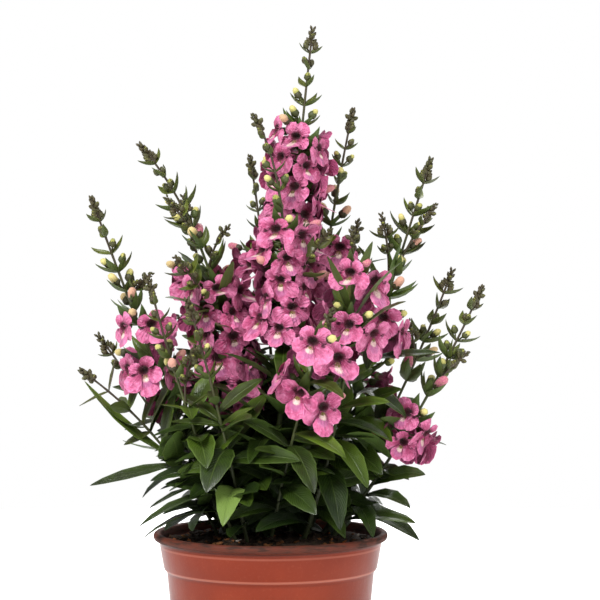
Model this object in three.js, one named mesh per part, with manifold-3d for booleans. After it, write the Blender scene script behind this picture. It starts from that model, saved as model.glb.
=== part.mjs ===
// A potted angelonia: a bushy bedding plant with toothed lance-shaped leaves and upright spikes of pink
// two-lipped flowers, standing in a thin terracotta-coloured nursery pot filled with bark compost.
// Millimetres, +Z up. The origin is the middle of the pot's flat underside, and -Y is the side seen first.
import * as THREE from 'three';
import { mergeVertices } from 'three/addons/utils/BufferGeometryUtils.js';
import Module from 'manifold-3d';

const wasm = await Module();
wasm.setup();

// Driving dimensions

const potSize = {
  height: 100,
  lipRadius: 60,
  mouthRadius: 56.4,
  collarTop: 94,
  collarBottom: 81.3,
  collarTopRadius: 56.8,
  collarBottomRadius: 54.4,
  shoulderRadius: 53.1,
  footRadius: 45,
  footWidth: 6,
  wall: 1.1,
  floor: 2,
  padRadius: 19,
  channelHeight: 2.6,
  drainRadius: 4,
  drainCircle: 28,
  drains: 4,
  sides: 24,
};

const soilSize = {
  clearance: 0.45,
  edgeHeight: 94.6,
  crownHeight: 98.4,
  relief: 0.9,
  rings: 4,
};

const stemSize = {
  foot: 84,
  footRadius: 1.9,
  tipRadius: 0.6,
  taperLength: 200,
  holeRadius: 3.2,
  holeSides: 4,
  holeDepth: 20,
  leafSocket: 2.6,
  budSocket: 1.7,
  flowerSocket: 1.6,
  bellyBelow: 2.4,
  bellyRadius: 1.9,
  peak: 2.2,
};

// A value that grows with the distance below a shoot's tip is written as [at the tip, more per millimetre].
const budSize = {
  tipPairs: [9.2, 5.6],
  tipTurn: 80,
  tipStalk: 0.9,
  tipRadius: 1.15,
  first: 13,
  step: [7.4, 0.08],
  turn: 47,
  missing: 0.16,
  stalk: [1.2, 0.07],
  radius: [1.2, 0.02],
  largestRadius: 2.4,
  lean: 36,
  tipLean: 58,
  roundness: 1.2,
  point: 1.5,
};

const bractSize = {
  length: [5.6, 0.1],
  width: [1.1, 0.014],
  lean: 64,
  curl: 0.26,
  thick: 0.9,
};

const leafSize = {
  shortest: 20,
  growth: 0.42,
  longest: 49,
  large: 33,
  halfWidth: 0.125,
  fold: 0.18,
  thick: 1,
  lowLean: 76,
  highLean: 55,
  lowDroop: 0.3,
  highDroop: 0.1,
  highAbovePot: 90,
  firstGap: 6,
  lastAboveFoot: 22,
  spread: 24,
  crownRadius: 60,
  crownTop: 150,
  cuts: 5,
  cut: 0.85,
  broadest: 0.19,
};

const flowerSize = {
  stalk: 8.4,
  stalkRise: 1.5,
  cup: 1.7,
  tube: 5.4,
  throat: 2.6,
  turn: 61,
  step: 4.15,
  scale: 1.06,
  edge: 0.8,
  slack: 17,
  runs: 3,
};

const clearance = 0.3;
const touching = 1e-5;

// Each shoot is a curve from its foot in the compost, past an elbow, to its tip. buds is how far below the
// tip the closed buds reach, flowers where the open ones begin and end, leafy scales its leaves and bracts,
// gap is the length of stem between pairs of leaves, and start turns its first flower.
const shoots = [
  { name: 'tall_centre', foot: [1, 2], elbow: [8.6, 3, 250], tip: [21.7, 5, 359],
    buds: 52, flowers: [54, 106], leafy: 1.0, gap: 19, start: 200 },
  { name: 'front_of_centre', foot: [-4, -9], elbow: [22, -24, 266], tip: [-8.4, -25, 311],
    buds: 57, flowers: [59, 108], leafy: 0.8, gap: 17, start: 250 },
  { name: 'right_of_centre', foot: [8, 6], elbow: [24, 24, 230], tip: [43, 24, 319],
    buds: 72, flowers: [74, 118], leafy: 0.9, gap: 18, start: 300 },
  { name: 'short_right', foot: [12, -12], elbow: [44, -35, 170], tip: [40.8, -36, 254],
    buds: 19, flowers: [21, 54], leafy: 0.8, gap: 15, start: 262 },
  { name: 'right', foot: [14, 4], elbow: [50, -6, 188], tip: [81.9, -5, 290.7],
    buds: 78, flowers: [80, 120], leafy: 1.4, gap: 15, start: 214 },
  { name: 'front_low', foot: [-2, -17], elbow: [10, -46, 158], tip: [31, -52, 214],
    buds: 14, flowers: [16, 58], leafy: 0.8, gap: 14, start: 250 },
  { name: 'left', foot: [-9, 0], elbow: [-14, -3, 240], tip: [-67.2, -3, 298.4],
    buds: 78, flowers: [80, 120], leafy: 1.35, gap: 16, start: 215 },
  { name: 'left_behind', foot: [-6, 9], elbow: [-30, 24, 205], tip: [-47, 31, 274],
    buds: 39, flowers: [41, 62], leafy: 1.1, gap: 15, start: 180 },
  { name: 'far_left', foot: [-15, -6], elbow: [-58, -10, 178], tip: [-91.2, -8, 270.8],
    buds: 65, flowers: [67, 112], leafy: 1.2, gap: 17, start: 240 },
  { name: 'low_left', foot: [-17, 5], elbow: [-52, 17, 150], tip: [-91, 19, 200.4],
    buds: 30, leafy: 1.0, gap: 19, start: 20 },
  { name: 'lowest_left', foot: [-21, -2], elbow: [-46, -9, 148], tip: [-96.6, -9, 183],
    buds: 12, leafy: 0.9, gap: 17, start: 135 },
  { name: 'front_left', foot: [-12, -15], elbow: [-42, -36, 160], tip: [-60, -34, 229],
    buds: 62, leafy: 1.0, gap: 15, start: 110 },
  { name: 'front_left_low', foot: [-9, -20], elbow: [-22, -44, 160], tip: [-40.3, -42, 219],
    buds: 48, leafy: 1.0, gap: 13, start: 40 },
  { name: 'far_right', foot: [18, 9], elbow: [62, 13, 148], tip: [94.5, 13, 234.3],
    buds: 72, leafy: 1.4, gap: 15, start: 10 },
  { name: 'lowest_right', foot: [20, -5], elbow: [68, -9, 138], tip: [108, -7, 225.3],
    buds: 72, flowers: [74, 84], leafy: 1.3, gap: 15, start: 243 },
  { name: 'back_centre', foot: [3, 13], elbow: [2, 34, 215], tip: [-12, 46, 296],
    buds: 46, flowers: [48, 88], leafy: 0.9, gap: 17, start: 60 },
  { name: 'back_right', foot: [9, 17], elbow: [32, 42, 175], tip: [47, 60, 262],
    buds: 46, flowers: [48, 84], leafy: 1.0, gap: 15, start: 100 },
  { name: 'back_left', foot: [-5, 19], elbow: [-26, 50, 160], tip: [-42, 66, 240],
    buds: 42, flowers: [44, 76], leafy: 1.0, gap: 14, start: 80 },
  { name: 'back_low', foot: [2, 23], elbow: [10, 66, 140], tip: [8, 88, 206],
    buds: 36, flowers: [38, 62], leafy: 1.0, gap: 13, start: 90 },
];

// The large leaves that show most: the shoot each grows on, the height of its root, where its tip is, half
// its width, and how far its middle rises above the straight line.
const showLeaves = [
  { on: 'lowest_left', height: 135, tip: [-91, -17, 125], width: 4.4, arch: 0.5 },
  { on: 'lowest_left', height: 154, tip: [-88, -17, 170], width: 3.4, arch: -5 },
  { on: 'low_left', height: 141, tip: [-77, 8, 146], width: 3.4, arch: -2 },
  { on: 'front_left', height: 133, tip: [-60, -24, 128], width: 4.6, arch: 2 },
  { on: 'front_left', height: 122, tip: [-65, -31, 106], width: 4.8, arch: 3 },
  { on: 'front_left', height: 112, tip: [-64, -24, 99], width: 5, arch: 5 },
  { on: 'front_left', height: 151, tip: [-30, -55, 137], width: 6.4, arch: 4 },
  { on: 'front_left_low', height: 145, tip: [-30, -60, 126], width: 7.6, arch: 4 },
  { on: 'front_left_low', height: 114, tip: [-27, -45, 127], width: 7.4, arch: -3 },
  { on: 'front_left_low', height: 106, tip: [-18.5, -49, 103], width: 5.4, arch: 2 },
  { on: 'front_of_centre', height: 155, tip: [-9.7, -50, 139], width: 6.2, arch: 4 },
  { on: 'front_low', height: 147, tip: [22, -65, 126], width: 5.6, arch: 3 },
  { on: 'front_low', height: 126, tip: [23, -57, 115], width: 5.6, arch: 2 },
  { on: 'short_right', height: 106, tip: [-13, -45, 106], width: 5.4, arch: 4 },
  { on: 'short_right', height: 135, tip: [34.5, -53, 107], width: 6.6, arch: 5 },
  { on: 'lowest_right', height: 112, tip: [50.9, -43, 102], width: 5, arch: 6 },
  { on: 'short_right', height: 114, tip: [37, -49, 102.5], width: 5, arch: 4 },
  { on: 'short_right', height: 149, tip: [48, -50, 127], width: 5.6, arch: 4 },
  { on: 'front_low', height: 153, tip: [37, -62, 143], width: 5, arch: 3 },
  { on: 'short_right', height: 158, tip: [59, -38, 150], width: 5.2, arch: 2 },
  { on: 'lowest_right', height: 124, tip: [78, -22, 131], width: 4.6, arch: 3 },
  { on: 'lowest_right', height: 118, tip: [70, -30, 115], width: 5, arch: 4 },
  { on: 'lowest_right', height: 106, tip: [73, -25, 107], width: 5, arch: 3 },
  { on: 'far_right', height: 111, tip: [75.5, -15, 97], width: 5.4, arch: 5 },
  { on: 'lowest_right', height: 145, tip: [90.5, 2, 144], width: 3.6, arch: 2 },
  { on: 'right', height: 188, tip: [86.4, -10, 192], width: 3.2, arch: 1 },
  { on: 'right', height: 157, tip: [73.4, -12, 174], width: 4.6, arch: 3 },
  { on: 'right', height: 146, tip: [58, -14, 171], width: 4.8, arch: 2 },
];

// Small maths

const vec = (x, y, z) => new THREE.Vector3(x, y, z);
const up = vec(0, 0, 1);
const rad = THREE.MathUtils.degToRad;
const blend = THREE.MathUtils.lerp;
const clamp = THREE.MathUtils.clamp;

// A repeatable number from 0 to 1 for a pair of whole numbers.
function chance(a, b) {
  const wave = Math.sin(a * 12.9898 + b * 78.233) * 43758.5453;
  return wave - Math.floor(wave);
}

// The point from p moved along each vector of the pairs [vector, distance].
function along(p, ...moves) {
  return moves.reduce((q, [v, d]) => q.addScaledVector(v, d), p.clone());
}

function mixOf(...moves) {
  return along(vec(0, 0, 0), ...moves);
}

// A size [at the tip, more per millimetre] at a distance below the tip.
function sizeAt([start, growth], below) {
  return start + growth * below;
}

// A closed triangle mesh as a solid.
function solidOf(points, triangles) {
  return new wasm.Manifold(new wasm.Mesh({
    numProp: 3,
    vertProperties: new Float32Array(points.flatMap((p) => [p.x, p.y, p.z])),
    triVerts: new Uint32Array(triangles.flat()),
  }));
}

function solidOfGeometry(geometry) {
  const bare = geometry.clone();
  bare.deleteAttribute('normal');
  bare.deleteAttribute('uv');
  const merged = mergeVertices(bare, 1e-4);
  return new wasm.Manifold(new wasm.Mesh({
    numProp: 3,
    vertProperties: merged.attributes.position.array,
    triVerts: new Uint32Array(merged.index.array),
  }));
}

function meshOf(name, solid, material) {
  const mesh = solid.getMesh();
  const geometry = new THREE.BufferGeometry();
  geometry.setAttribute('position', new THREE.BufferAttribute(new Float32Array(mesh.vertProperties), 3));
  geometry.setIndex(new THREE.BufferAttribute(new Uint32Array(mesh.triVerts), 1));
  geometry.computeVertexNormals();
  const made = new THREE.Mesh(geometry, material);
  made.name = name;
  return made;
}

// Rings of equally many points joined into a closed skin. An end of one point closes to a tip.
function skin(rings) {
  const points = rings.flat();
  const triangles = [];
  let first = 0;
  rings.slice(1).forEach((ring, i) => {
    const here = rings[i];
    const next = first + here.length;
    const count = Math.max(here.length, ring.length);
    for (let k = 0; k < count; k++) {
      const j = (k + 1) % count;
      if (here.length === 1) triangles.push([first, next + j, next + k]);
      else if (ring.length === 1) triangles.push([first + k, first + j, next]);
      else triangles.push([first + k, first + j, next + j], [first + k, next + j, next + k]);
    }
    first = next;
  });
  for (let k = 1; k + 1 < rings[0].length; k++) triangles.push([0, k + 1, k]);
  for (let k = 1; k + 1 < rings.at(-1).length; k++) triangles.push([first, first + k, first + k + 1]);
  return solidOf(points, triangles);
}

function ringOf(centre, side, other, radius, count) {
  return Array.from({ length: count }, (_, k) => {
    const angle = (2 * Math.PI * k) / count;
    return along(centre, [side, radius * Math.cos(angle)], [other, radius * Math.sin(angle)]);
  });
}

// The shoots' curves

const curveSteps = 60;

function traceShoot(shoot, index) {
  const foot = vec(...shoot.foot, stemSize.foot);
  const curve = new THREE.QuadraticBezierCurve3(foot, vec(...shoot.elbow), vec(...shoot.tip));
  const spots = Array.from({ length: curveSteps + 1 }, (_, i) => curve.getPoint(i / curveSteps));
  const lengths = [0];
  for (let i = 1; i <= curveSteps; i++) lengths.push(lengths[i - 1] + spots[i].distanceTo(spots[i - 1]));
  const total = lengths[curveSteps];
  // Place and directions on the curve, at a distance below the tip.
  const at = (below) => {
    const s = clamp(total - below, 0, total);
    let i = 0;
    while (i < curveSteps - 1 && lengths[i + 1] < s) i++;
    const u = (i + (s - lengths[i]) / (lengths[i + 1] - lengths[i])) / curveSteps;
    const centre = curve.getPoint(u);
    const tangent = curve.getTangent(u);
    const side = along(vec(1, 0, 0), [tangent, -tangent.x]).normalize();
    const other = tangent.clone().cross(side);
    const outward = (degrees) => mixOf([side, Math.cos(rad(degrees))], [other, Math.sin(rad(degrees))]);
    const radius = blend(stemSize.tipRadius, stemSize.footRadius, Math.min(1, below / stemSize.taperLength));
    return { centre, tangent, side, other, outward, radius };
  };
  // Distance below the tip at which the curve has a height.
  const belowAt = (height) => {
    const i = spots.findIndex((p) => p.z >= height);
    const share = (height - spots[i - 1].z) / (spots[i].z - spots[i - 1].z);
    return total - blend(lengths[i - 1], lengths[i], share);
  };
  const leavesFrom = (shoot.flowers ? shoot.flowers[1] : shoot.buds) + leafSize.firstGap;
  return { ...shoot, index, total, at, belowAt, leavesFrom, sockets: [], blooms: [], runs: [] };
}

// Sockets: short three-sided lengths of stem. What grows there starts from one of the six triangles of its
// skin.

function addSocket(shoot, below, height, turn) {
  const ringAt = (distance) => {
    const spot = shoot.at(distance);
    return [0, 1, 2].map((k) => along(spot.centre, [spot.outward(turn + 120 * k), spot.radius]));
  };
  const low = ringAt(below + height / 2);
  const high = ringAt(below - height / 2);
  const socket = { below, turn, low, high, grown: {} };
  shoot.sockets.push(socket);
  return socket;
}

function isFree(shoot, below, room) {
  return shoot.sockets.every((socket) => Math.abs(socket.below - below) > room);
}

// The two faces of a socket for a pair that grows opposite ways, each 30 degrees off its face.
const pairFaces = [0, 2];

function addPairSocket(shoot, below, height, degrees) {
  return addSocket(shoot, below, height, degrees - 90);
}

// A socket whose first face looks straight in a direction.
function addFacingSocket(shoot, below, height, degrees) {
  return addSocket(shoot, below, height, degrees - 60);
}

function rootTriangle(socket, face, half) {
  const next = (face + 1) % 3;
  const { low, high } = socket;
  return half === 'lower' ? [low[face], low[next], high[next]] : [low[face], high[next], high[face]];
}

// Patches: what grows from a root triangle. Corners 0, 1 and 2 are the root's, and the rest are its own.

function patchSolid(root, patch) {
  return solidOf([...root, ...patch.points], [...patch.triangles, [2, 1, 0]]);
}

// A ring of three, closed flat or to a point: a bract, a bud on its stalk, or a stalk and its cup.
function ringPatch(ring, tip) {
  const sides = [[0, 1, 4], [0, 4, 3], [1, 2, 5], [1, 5, 4], [2, 0, 3], [2, 3, 5]];
  if (!tip) return { points: ring, triangles: [...sides, [3, 4, 5]] };
  return { points: [...ring, tip], triangles: [...sides, [3, 4, 6], [4, 5, 6], [5, 3, 6]] };
}

// Where a leaf's rib runs: from its root it sets off along reach and bends along sag.
function leafFrame(leaf, u) {
  const centre = along(leaf.root, [leaf.reach, u], [leaf.sag, u * u]);
  const way = along(leaf.reach, [leaf.sag, 2 * u]).normalize();
  const side = along(leaf.side, [way, -leaf.side.dot(way)]).normalize();
  return { centre, side, normal: way.clone().cross(side) };
}

// Half-widths at stations from root to tip. A step back in width makes a tooth.
const bladeForms = {
  large: { edge: [[0.27, 0.88], [0.5, 1.06], [0.525, 0.86], [0.74, 0.8], [0.765, 0.58]], rib: [0.5] },
  middle: { edge: [[0.48, 1.04], [0.52, 0.8]], rib: [0.5] },
};

// A leaf as a thin keeled blade: two faces cut alike into triangles, thick along the rib, fine at the edge.
function bladePatch(leaf) {
  const { edge, rib } = bladeForms[leaf.form];
  const points = [];
  const put = (p) => points.push(p) + 2;
  const spot = (u, across, lift) => {
    const { centre, side, normal } = leafFrame(leaf, u);
    const raise = lift + Math.abs(across) * leaf.width * leafSize.fold;
    return put(along(centre, [side, across * leaf.width], [normal, raise]));
  };
  const right = [1, ...edge.map(([u, w]) => spot(u, w, 0))];
  const left = [2, ...edge.map(([u, w]) => spot(u, -w, 0))];
  const over = rib.map((u) => spot(u, 0, leafSize.thick / 2));
  const under = [0, ...rib.map((u) => spot(u, 0, -leafSize.thick / 2))];
  const tip = spot(1, 0, 0);
  const edgeAt = [0, ...edge.map(([u]) => u), 1];
  const ribAt = [...rib, 1];
  const triangles = [[1, 2, over[0]]];
  // Zips the margin to the rib, stepping whichever lags behind.
  const zip = (margin, spine, spineAt, turned) => {
    const a = [...margin, tip];
    const b = [...spine, tip];
    let i = 0;
    let j = 0;
    while (i < a.length - 2 || j < b.length - 2) {
      const stepEdge = j === b.length - 2 || (i < a.length - 2 && edgeAt[i + 1] <= spineAt[j + 1]);
      const corner = [a[i], b[j], stepEdge ? a[i + 1] : b[j + 1]];
      triangles.push(turned ? corner.reverse() : corner);
      if (stepEdge) i++;
      else j++;
    }
    const last = [a[i], b[j], tip];
    triangles.push(turned ? last.reverse() : last);
  };
  zip(right, over, ribAt, false);
  zip(left, over, ribAt, true);
  zip(right, under, [0, ...ribAt], true);
  zip(left, under, [0, ...ribAt], false);
  return { points, triangles };
}

// Outline of an open flower seen from the front, as [degrees, distance, forward]: the broad lower lip, the
// side lobe, the upper lobe, and a notch between each pair.
const rightHalf = [
  [-90, 10.6, 0.4], [-64, 9.4, 1.2], [-48, 3.8, 0.3], [-28, 9.4, 0.8], [3, 9.6, 0.4],
  [22, 3.8, 0.2], [40, 8.4, -1], [70, 8.4, -1.3], [90, 4.2, -0.2],
];
const leftHalf = rightHalf.slice(1, -1).reverse().map(([degrees, r, forward]) => [180 - degrees, r, forward]);
const flowerOutline = [...rightHalf, ...leftHalf];

// The outline's corners at the ends of the two side lobes, lower then upper.
const rightLobe = [3, 4];
const leftLobe = [13, 12];

function rimOf({ heart, facing, rise, across, size }) {
  return flowerOutline.map(([degrees, distance, forward]) => along(heart,
    [across, size * distance * Math.cos(rad(degrees))], [rise, size * distance * Math.sin(rad(degrees))],
    [facing, size * forward]));
}

// A run of neighbouring flowers as one skin. Each is a thin cup, its rim drawn in to a throat in front and
// to the end of its tube behind, and the facing side lobes of each two share one thick edge.
function runSolid(run) {
  const points = [];
  const triangles = [];
  const put = (p) => points.push(p) - 1;
  let shared = null;
  run.forEach((flower, n) => {
    const rim = rimOf(flower);
    const front = [];
    const back = [];
    if (shared) leftLobe.forEach((corner, k) => ([front[corner], back[corner]] = shared[k]));
    shared = null;
    if (run[n + 1]) {
      const other = rimOf(run[n + 1]);
      const face = flower.facing.clone().add(run[n + 1].facing).normalize();
      shared = rightLobe.map((corner, k) => {
        const middle = rim[corner].clone().lerp(other[leftLobe[k]], 0.5);
        return [flowerSize.edge / 2, -flowerSize.edge / 2].map((d) => put(along(middle, [face, d])));
      });
      rightLobe.forEach((corner, k) => ([front[corner], back[corner]] = shared[k]));
    }
    rim.forEach((p, k) => {
      if (front[k] === undefined) front[k] = back[k] = put(p);
    });
    const throat = put(along(flower.heart, [flower.facing, -flowerSize.throat]));
    const tube = put(along(flower.heart, [flower.facing, -flowerSize.tube]));
    rim.forEach((_, k) => {
      const j = (k + 1) % rim.length;
      triangles.push([front[k], front[j], throat], [back[j], back[k], tube]);
      if (front[k] === back[k] && front[j] !== back[j]) triangles.push([front[j], front[k], back[j]]);
      if (front[k] !== back[k] && front[j] === back[j]) triangles.push([back[k], front[j], front[k]]);
    });
  });
  return solidOf(points, triangles);
}

// Placing the pieces clear of one another

const placed = [];

function boxesMeet(a, b, gap) {
  return [0, 1, 2].every((k) => a.min[k] - gap < b.max[k] && b.min[k] - gap < a.max[k]);
}

function place(solid, owner) {
  const piece = { solid, owner, box: solid.boundingBox() };
  placed.push(piece);
  return piece;
}

function near(solid, gap) {
  const box = solid.boundingBox();
  return placed.filter((other) => boxesMeet(box, other.box, gap));
}

// Clear of every other node by the clearance, and not into anything of its own.
function isClear(solid, owner, skipped = null) {
  return near(solid, clearance).every((other) => {
    if (other === skipped) return true;
    if (other.owner !== owner) return other.solid.minGap(solid, 1) >= clearance;
    return other.solid.intersect(solid).volume() < touching;
  });
}

const greenOf = (shoot) => `stem_${shoot.name}`;

// Turned, tilted and shortened tries, in order.
const tries = [1, 0.78].flatMap((scale) => [0, 14, -14].flatMap((tilt) => (
  [0, 12, -12, 24, -24].map((swing) => ({ swing, tilt, scale })))));

// What is to grow, in order: the triangle of a socket that it starts from, and its patch at each try.
const jobs = [];

function plan(shoot, socket, face, half, patchFor) {
  jobs.push({ shoot, socket, face, half, patchFor });
}

// Grows a patch at the first try that is clear of everything placed before.
function grow({ shoot, socket, face, half, patchFor }) {
  const root = rootTriangle(socket, face, half);
  for (const attempt of tries) {
    const patch = patchFor(attempt);
    const solid = patchSolid(root, patch);
    if (solid.volume() > 0 && isClear(solid, greenOf(shoot))) {
      socket.grown[face + half] = patch;
      place(solid, greenOf(shoot));
      return;
    }
  }
}

// Two crossed pairs of young buds under the crowded tip.
function planTip(shoot) {
  budSize.tipPairs.forEach((below, level) => {
    const turn = shoot.start + budSize.tipTurn * level;
    const socket = addPairSocket(shoot, below, stemSize.budSocket, turn);
    const spot = shoot.at(below);
    pairFaces.forEach((face, flip) => plan(shoot, socket, face, 'upper', ({ swing, tilt, scale }) => (
      budPatch(spot, turn + 180 * flip + swing, budSize.tipLean - tilt, budSize.tipStalk * scale,
        budSize.tipRadius))));
  });
}

// Three corners round a centre, the first one below it.
function triangleOf(centre, side, lift, radius) {
  return [270, 30, 150].map((degrees) => along(centre,
    [side, radius * Math.cos(rad(degrees))], [lift, radius * Math.sin(rad(degrees))]));
}

function budPatch(spot, degrees, lean, stalk, radius) {
  const away = spot.outward(degrees);
  const way = mixOf([away, Math.sin(rad(lean))], [spot.tangent, Math.cos(rad(lean))]);
  const side = spot.tangent.clone().cross(away);
  const lift = way.clone().cross(side);
  const belly = along(spot.centre, [way, spot.radius + stalk + radius]);
  const ring = triangleOf(belly, side, lift, budSize.roundness * radius);
  return ringPatch(ring, along(belly, [way, budSize.point * radius]));
}

function bractPatch(spot, degrees, tilt, length, width) {
  const away = spot.outward(degrees);
  const lean = rad(bractSize.lean - tilt);
  const bract = {
    root: spot.centre,
    reach: mixOf([away, length * Math.sin(lean)], [spot.tangent, length * Math.cos(lean)]),
    sag: spot.tangent.clone().multiplyScalar(bractSize.curl * length),
    side: spot.tangent.clone().cross(away),
  };
  const { centre, side, normal } = leafFrame(bract, 0.5);
  const moves = [[side, -width], [side, width], [normal, bractSize.thick]];
  return ringPatch(moves.map((move) => along(centre, move)), leafFrame(bract, 1).centre);
}

// A bract with a bud in its fold, on both sides of each joint below the tip.
function planBuds(shoot) {
  let below = budSize.first;
  for (let pair = 0; below < shoot.buds; pair++) {
    planBudPair(shoot, below, pair);
    below += sizeAt(budSize.step, below);
  }
}

function planBudPair(shoot, below, pair) {
  const spot = shoot.at(below);
  const turn = shoot.start + budSize.turn * pair;
  const socket = addPairSocket(shoot, below, stemSize.budSocket, turn);
  const length = sizeAt(bractSize.length, below) * shoot.leafy;
  const width = sizeAt(bractSize.width, below) * shoot.leafy;
  const stalk = sizeAt(budSize.stalk, below);
  const radius = Math.min(budSize.largestRadius, sizeAt(budSize.radius, below));
  pairFaces.forEach((face, flip) => {
    const draw = chance(shoot.index, 200 + 2 * pair + flip);
    const angle = turn + 180 * flip + leafSize.spread * (draw - 0.5);
    plan(shoot, socket, face, 'lower', ({ swing, tilt, scale }) => (
      bractPatch(spot, angle + swing, tilt, length * scale, width)));
    if (draw > 1 - budSize.missing) return;
    plan(shoot, socket, face, 'upper', ({ swing, tilt, scale }) => (
      budPatch(spot, angle + swing, budSize.lean - tilt, stalk * scale, radius)));
  });
}

// Where an open flower and its stalk stand, at one place of the spiral.
function flowerPlan(shoot, number, { swing, tilt, reach }) {
  const below = shoot.flowers[0] + flowerSize.step * (number + 0.5);
  const spot = shoot.at(below);
  const angle = shoot.start + flowerSize.turn * number + 8 * (chance(shoot.index, number) - 0.5) + swing;
  const away = spot.outward(angle);
  const pitch = rad(10 * (chance(shoot.index + 40, number) - 0.5) + tilt);
  const facing = mixOf([away, Math.cos(pitch)], [spot.tangent, Math.sin(pitch)]);
  const rise = along(spot.tangent, [facing, -spot.tangent.dot(facing)]).normalize();
  const across = rise.clone().cross(facing);
  const neck = along(spot.centre, [away, flowerSize.stalk * reach], [spot.tangent, flowerSize.stalkRise]);
  const size = flowerSize.scale * (0.94 + 0.12 * chance(shoot.index + 80, number));
  const heart = along(neck, [facing, flowerSize.tube + clearance + 0.1]);
  return { angle, number, neck, heart, facing, rise, across, size };
}

// A flower's stalk, widening to the cup behind it.
function cupPatch({ neck, rise, across }) {
  return ringPatch(triangleOf(neck, across, rise, flowerSize.cup));
}

const flowerTries = [1, 0.88, 1.12].flatMap((reach) => [0, 12, -12].flatMap((tilt) => (
  [0, 8, -8, 16, -16].map((swing) => ({ swing, tilt, reach })))));

// Two flowers grow on each socket, the second one step further round the spiral and higher up the stem.
function planFlowers(shoot) {
  if (!shoot.flowers) return;
  const count = Math.floor((shoot.flowers[1] - shoot.flowers[0]) / flowerSize.step);
  for (let number = 0; number < count; number += 2) {
    const below = shoot.flowers[0] + flowerSize.step * (number + 1);
    const turn = shoot.start + flowerSize.turn * number;
    shoot.blooms.push(addSocket(shoot, below, stemSize.flowerSocket, turn - 90));
  }
}

// Grows the flowers of a shoot. Each joins the run of the flower before it where the two can meet side by
// side, and otherwise starts a run of its own, clear of the last.
function growFlowers(shoot) {
  shoot.blooms.forEach((socket, pair) => [0, 1].forEach((face) => {
    const number = 2 * pair + face;
    const root = rootTriangle(socket, face, 'upper');
    const found = findFlower(shoot, number, root, true) ?? findFlower(shoot, number, root, false);
    if (!found) return;
    const cup = cupPatch(found.flower);
    socket.grown[`${face}upper`] = cup;
    place(patchSolid(root, cup), greenOf(shoot));
    if (found.joined) {
      shoot.runs.at(-1).flowers.push(found.flower);
      Object.assign(shoot.runs.at(-1).piece, { solid: found.solid, box: found.solid.boundingBox() });
    } else {
      const piece = place(found.solid, `flowers_${shoot.name}_${shoot.runs.length + 1}`);
      shoot.runs.push({ flowers: [found.flower], piece });
    }
  }));
}

function findFlower(shoot, number, root, joined) {
  const run = shoot.runs.at(-1);
  const last = run?.flowers.at(-1);
  if (joined && last?.number !== number - 1) return null;
  if (!joined && shoot.runs.length >= flowerSize.runs) return null;
  for (const attempt of flowerTries) {
    const flower = flowerPlan(shoot, number, attempt);
    if (joined && Math.abs(flower.angle - last.angle - flowerSize.turn) > flowerSize.slack) continue;
    const earlier = joined ? run.flowers.slice(0, -1) : [];
    const single = runSolid([flower]);
    if (earlier.some((other) => runSolid([other]).intersect(single).volume() > touching)) continue;
    const solid = joined ? runSolid([...run.flowers, flower]) : single;
    const cup = patchSolid(root, cupPatch(flower));
    const skip = joined ? run.piece : null;
    const isApart = (other) => other.solid.minGap(solid, 1) >= clearance;
    if (!near(solid, clearance).every((other) => other === skip || isApart(other))) continue;
    if (cup.volume() > 0 && isApart({ solid: cup }) && isClear(cup, greenOf(shoot), skip)) {
      return { flower, solid, joined };
    }
  }
  return null;
}

// The leaves that show most, each from its own socket.
function planShowLeaves() {
  for (const leaf of showLeaves) {
    const shoot = traced.find((one) => one.name === leaf.on);
    const below = shoot.belowAt(leaf.height);
    const spot = shoot.at(below);
    const goal = vec(...leaf.tip).sub(spot.centre);
    const degrees = THREE.MathUtils.radToDeg(Math.atan2(goal.dot(spot.other), goal.dot(spot.side)));
    const socket = addFacingSocket(shoot, below, stemSize.leafSocket, degrees);
    const sag = up.clone().multiplyScalar(-4 * leaf.arch);
    plan(shoot, socket, 0, 'upper', ({ swing, scale }) => bladePatch({
      form: 'large',
      root: spot.centre,
      reach: goal.clone().applyAxisAngle(up, rad(swing)).multiplyScalar(scale).sub(sag),
      sag,
      side: up.clone().cross(goal).normalize(),
      width: leaf.width,
    }));
  }
}

// Pairs of leaves down the stem, each pair crossing the one above, longer towards the foot.
function planLeaves(shoot) {
  let below = shoot.leavesFrom;
  for (let pair = 0; below < shoot.total - leafSize.lastAboveFoot; pair++) {
    if (isFree(shoot, below, stemSize.leafSocket + 0.6)) planLeafPair(shoot, below, pair);
    below += shoot.gap * (0.8 + 0.3 * chance(shoot.index, 600 + pair));
  }
}

function planLeafPair(shoot, below, pair) {
  const spot = shoot.at(below);
  const turn = shoot.start + 45 + 90 * pair;
  const socket = addPairSocket(shoot, below, stemSize.leafSocket, turn);
  pairFaces.forEach((face, flip) => {
    const draw = chance(shoot.index, 400 + 2 * pair + flip);
    const angle = turn + 180 * flip + leafSize.spread * (draw - 0.5);
    plan(shoot, socket, face, 'upper', (attempt) => (
      bladePatch(stemLeaf(shoot, spot, below, angle, draw, attempt))));
  });
}

// Low down only the leaves that show most reach out past the crown. The others stay shorter there.
function isInCrown(tip) {
  return tip.z > leafSize.crownTop || Math.hypot(tip.x, tip.y) < leafSize.crownRadius;
}

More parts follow.
